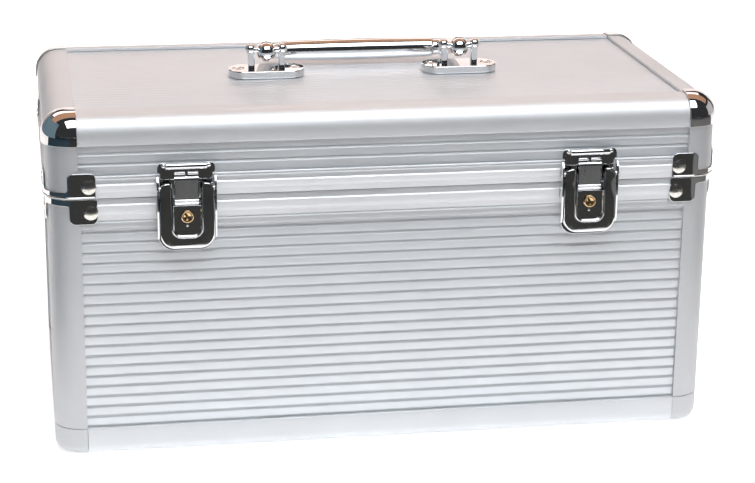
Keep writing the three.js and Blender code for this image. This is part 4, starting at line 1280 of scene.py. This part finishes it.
# Cards seen only in reflections: name, size, centre, normal, colour, glow.
CARDS = (
    ("dark_floor_front", (8, 3), (0, FLOOR_EDGE - 1.5, 0.001), (0, 0, 1), DARK, 0),
    ("dark_floor_left", (4, 4), (-2.36, -1.95, 0.0012), (0, 0, 1), (0.04, 0.065, 0.085), 0),
    ("dark_floor_right", (4, 4), (2.42, -1.95, 0.0012), (0, 0, 1), (0.2, 0.2, 0.195), 0),
    ("left_card", (3, 1.6), (-1.5, 0.8, 0.8), (1, 0, 0), (0.10, 0.15, 0.18), 0.5),
    ("right_card", (1.2, 0.8), (1.7, 0.3, 0.5), (-1, 0, 0), (0.3, 0.3, 0.3), 0.8),
    ("backdrop_card", (5, 1), (0, 2.2, 0.5), (0, -1, 0), (0.85, 0.76, 0.73), 0.6),
    ("backdrop_left", (2, 1.2), (-1.75, 2.19, 0.6), (0, -1, 0), (0.42, 0.38, 0.36), 0.3),
    ("copper_beam", (4, 0.9), (0, 0.45, 1.35), (0, 0, -1), (0.42, 0.24, 0.15), 0.35),
)


def area_light(name, centre, target, size, power, colour):
    data = bpy.data.lights.new(name, "AREA")
    data.shape = "RECTANGLE"
    data.size, data.size_y = size
    data.energy = power
    data.color = colour
    light = bpy.data.objects.new(name, data)
    light.location = centre
    light.rotation_euler = (Vector(target) - Vector(centre)).to_track_quat("-Z", "Y").to_euler()
    bpy.context.scene.collection.objects.link(light)


def stage_plane(name, size, centre, normal, colour, glow, camera=True, mirrored=True):
    """A floor, wall or card. A card is only seen in reflections, and a wall is never mirrored."""
    bm = bmesh.new()
    w, h = size[0] / 2, size[1] / 2
    bm.faces.new([bm.verts.new(p) for p in ((-w, -h, 0), (w, -h, 0), (w, h, 0), (-w, h, 0))])
    mesh = bpy.data.meshes.new(name)
    bm.to_mesh(mesh)
    bm.free()
    card = bpy.data.objects.new(name, mesh)
    card.location = centre
    card.rotation_euler = Vector(normal).to_track_quat("Z", "Y").to_euler()
    bpy.context.scene.collection.objects.link(card)
    look = Look(name, colour, 0, 0.9)
    look.put({"Specular IOR Level": 0, "Emission Color": (*colour, 1), "Emission Strength": glow})
    mesh.materials.append(look.material)
    card.visible_camera = camera
    card.visible_glossy = mirrored
    if not (camera and mirrored):
        card.visible_shadow = False
        card.visible_diffuse = False


def make_world(level):
    world = bpy.data.worlds.new("studio")
    bpy.context.scene.world = world
    world.use_nodes = True
    background = world.node_tree.nodes["Background"]
    background.inputs["Color"].default_value = (0.93, 0.96, 1.0, 1)
    background.inputs["Strength"].default_value = level


def build_studio():
    make_world(0.035)
    stage_plane("floor", (9, 9), (0, 0, 0), (0, 0, 1), (0.9, 0.9, 0.9), 0.55)
    pale = {"colour": (0.95, 0.95, 0.95), "glow": 1.05, "mirrored": False}
    for side, (x, y) in SIDES.items():
        stage_plane("wall_" + side, (9, 9), (WALL_AT * x, WALL_AT * y, 4.4), (-x, -y, 0), **pale)
        stage_plane("far_floor_" + side, (9, 3.75) if y else (3.75, 9),
                    (FAR_FLOOR_AT * x, FAR_FLOOR_AT * y, 0.003), (0, 0, 1), **pale)
    for card in CARDS:
        stage_plane(*card, camera=False)
    area_light("softbox", (0.1, -0.75, 1.45), (0, 0, 0.1), (1.6, 0.9), 21, (0.94, 0.975, 1.0))
    area_light("warm_ceiling", (0, 1, 1.6), (0, 0.5, 0), (2.6, 1.5), 22, (1.0, 0.83, 0.76))
    scene = bpy.context.scene
    scene.view_settings.view_transform = "Standard"
    scene.view_settings.look = "None"


build_studio()

bpy.context.view_layer.update()
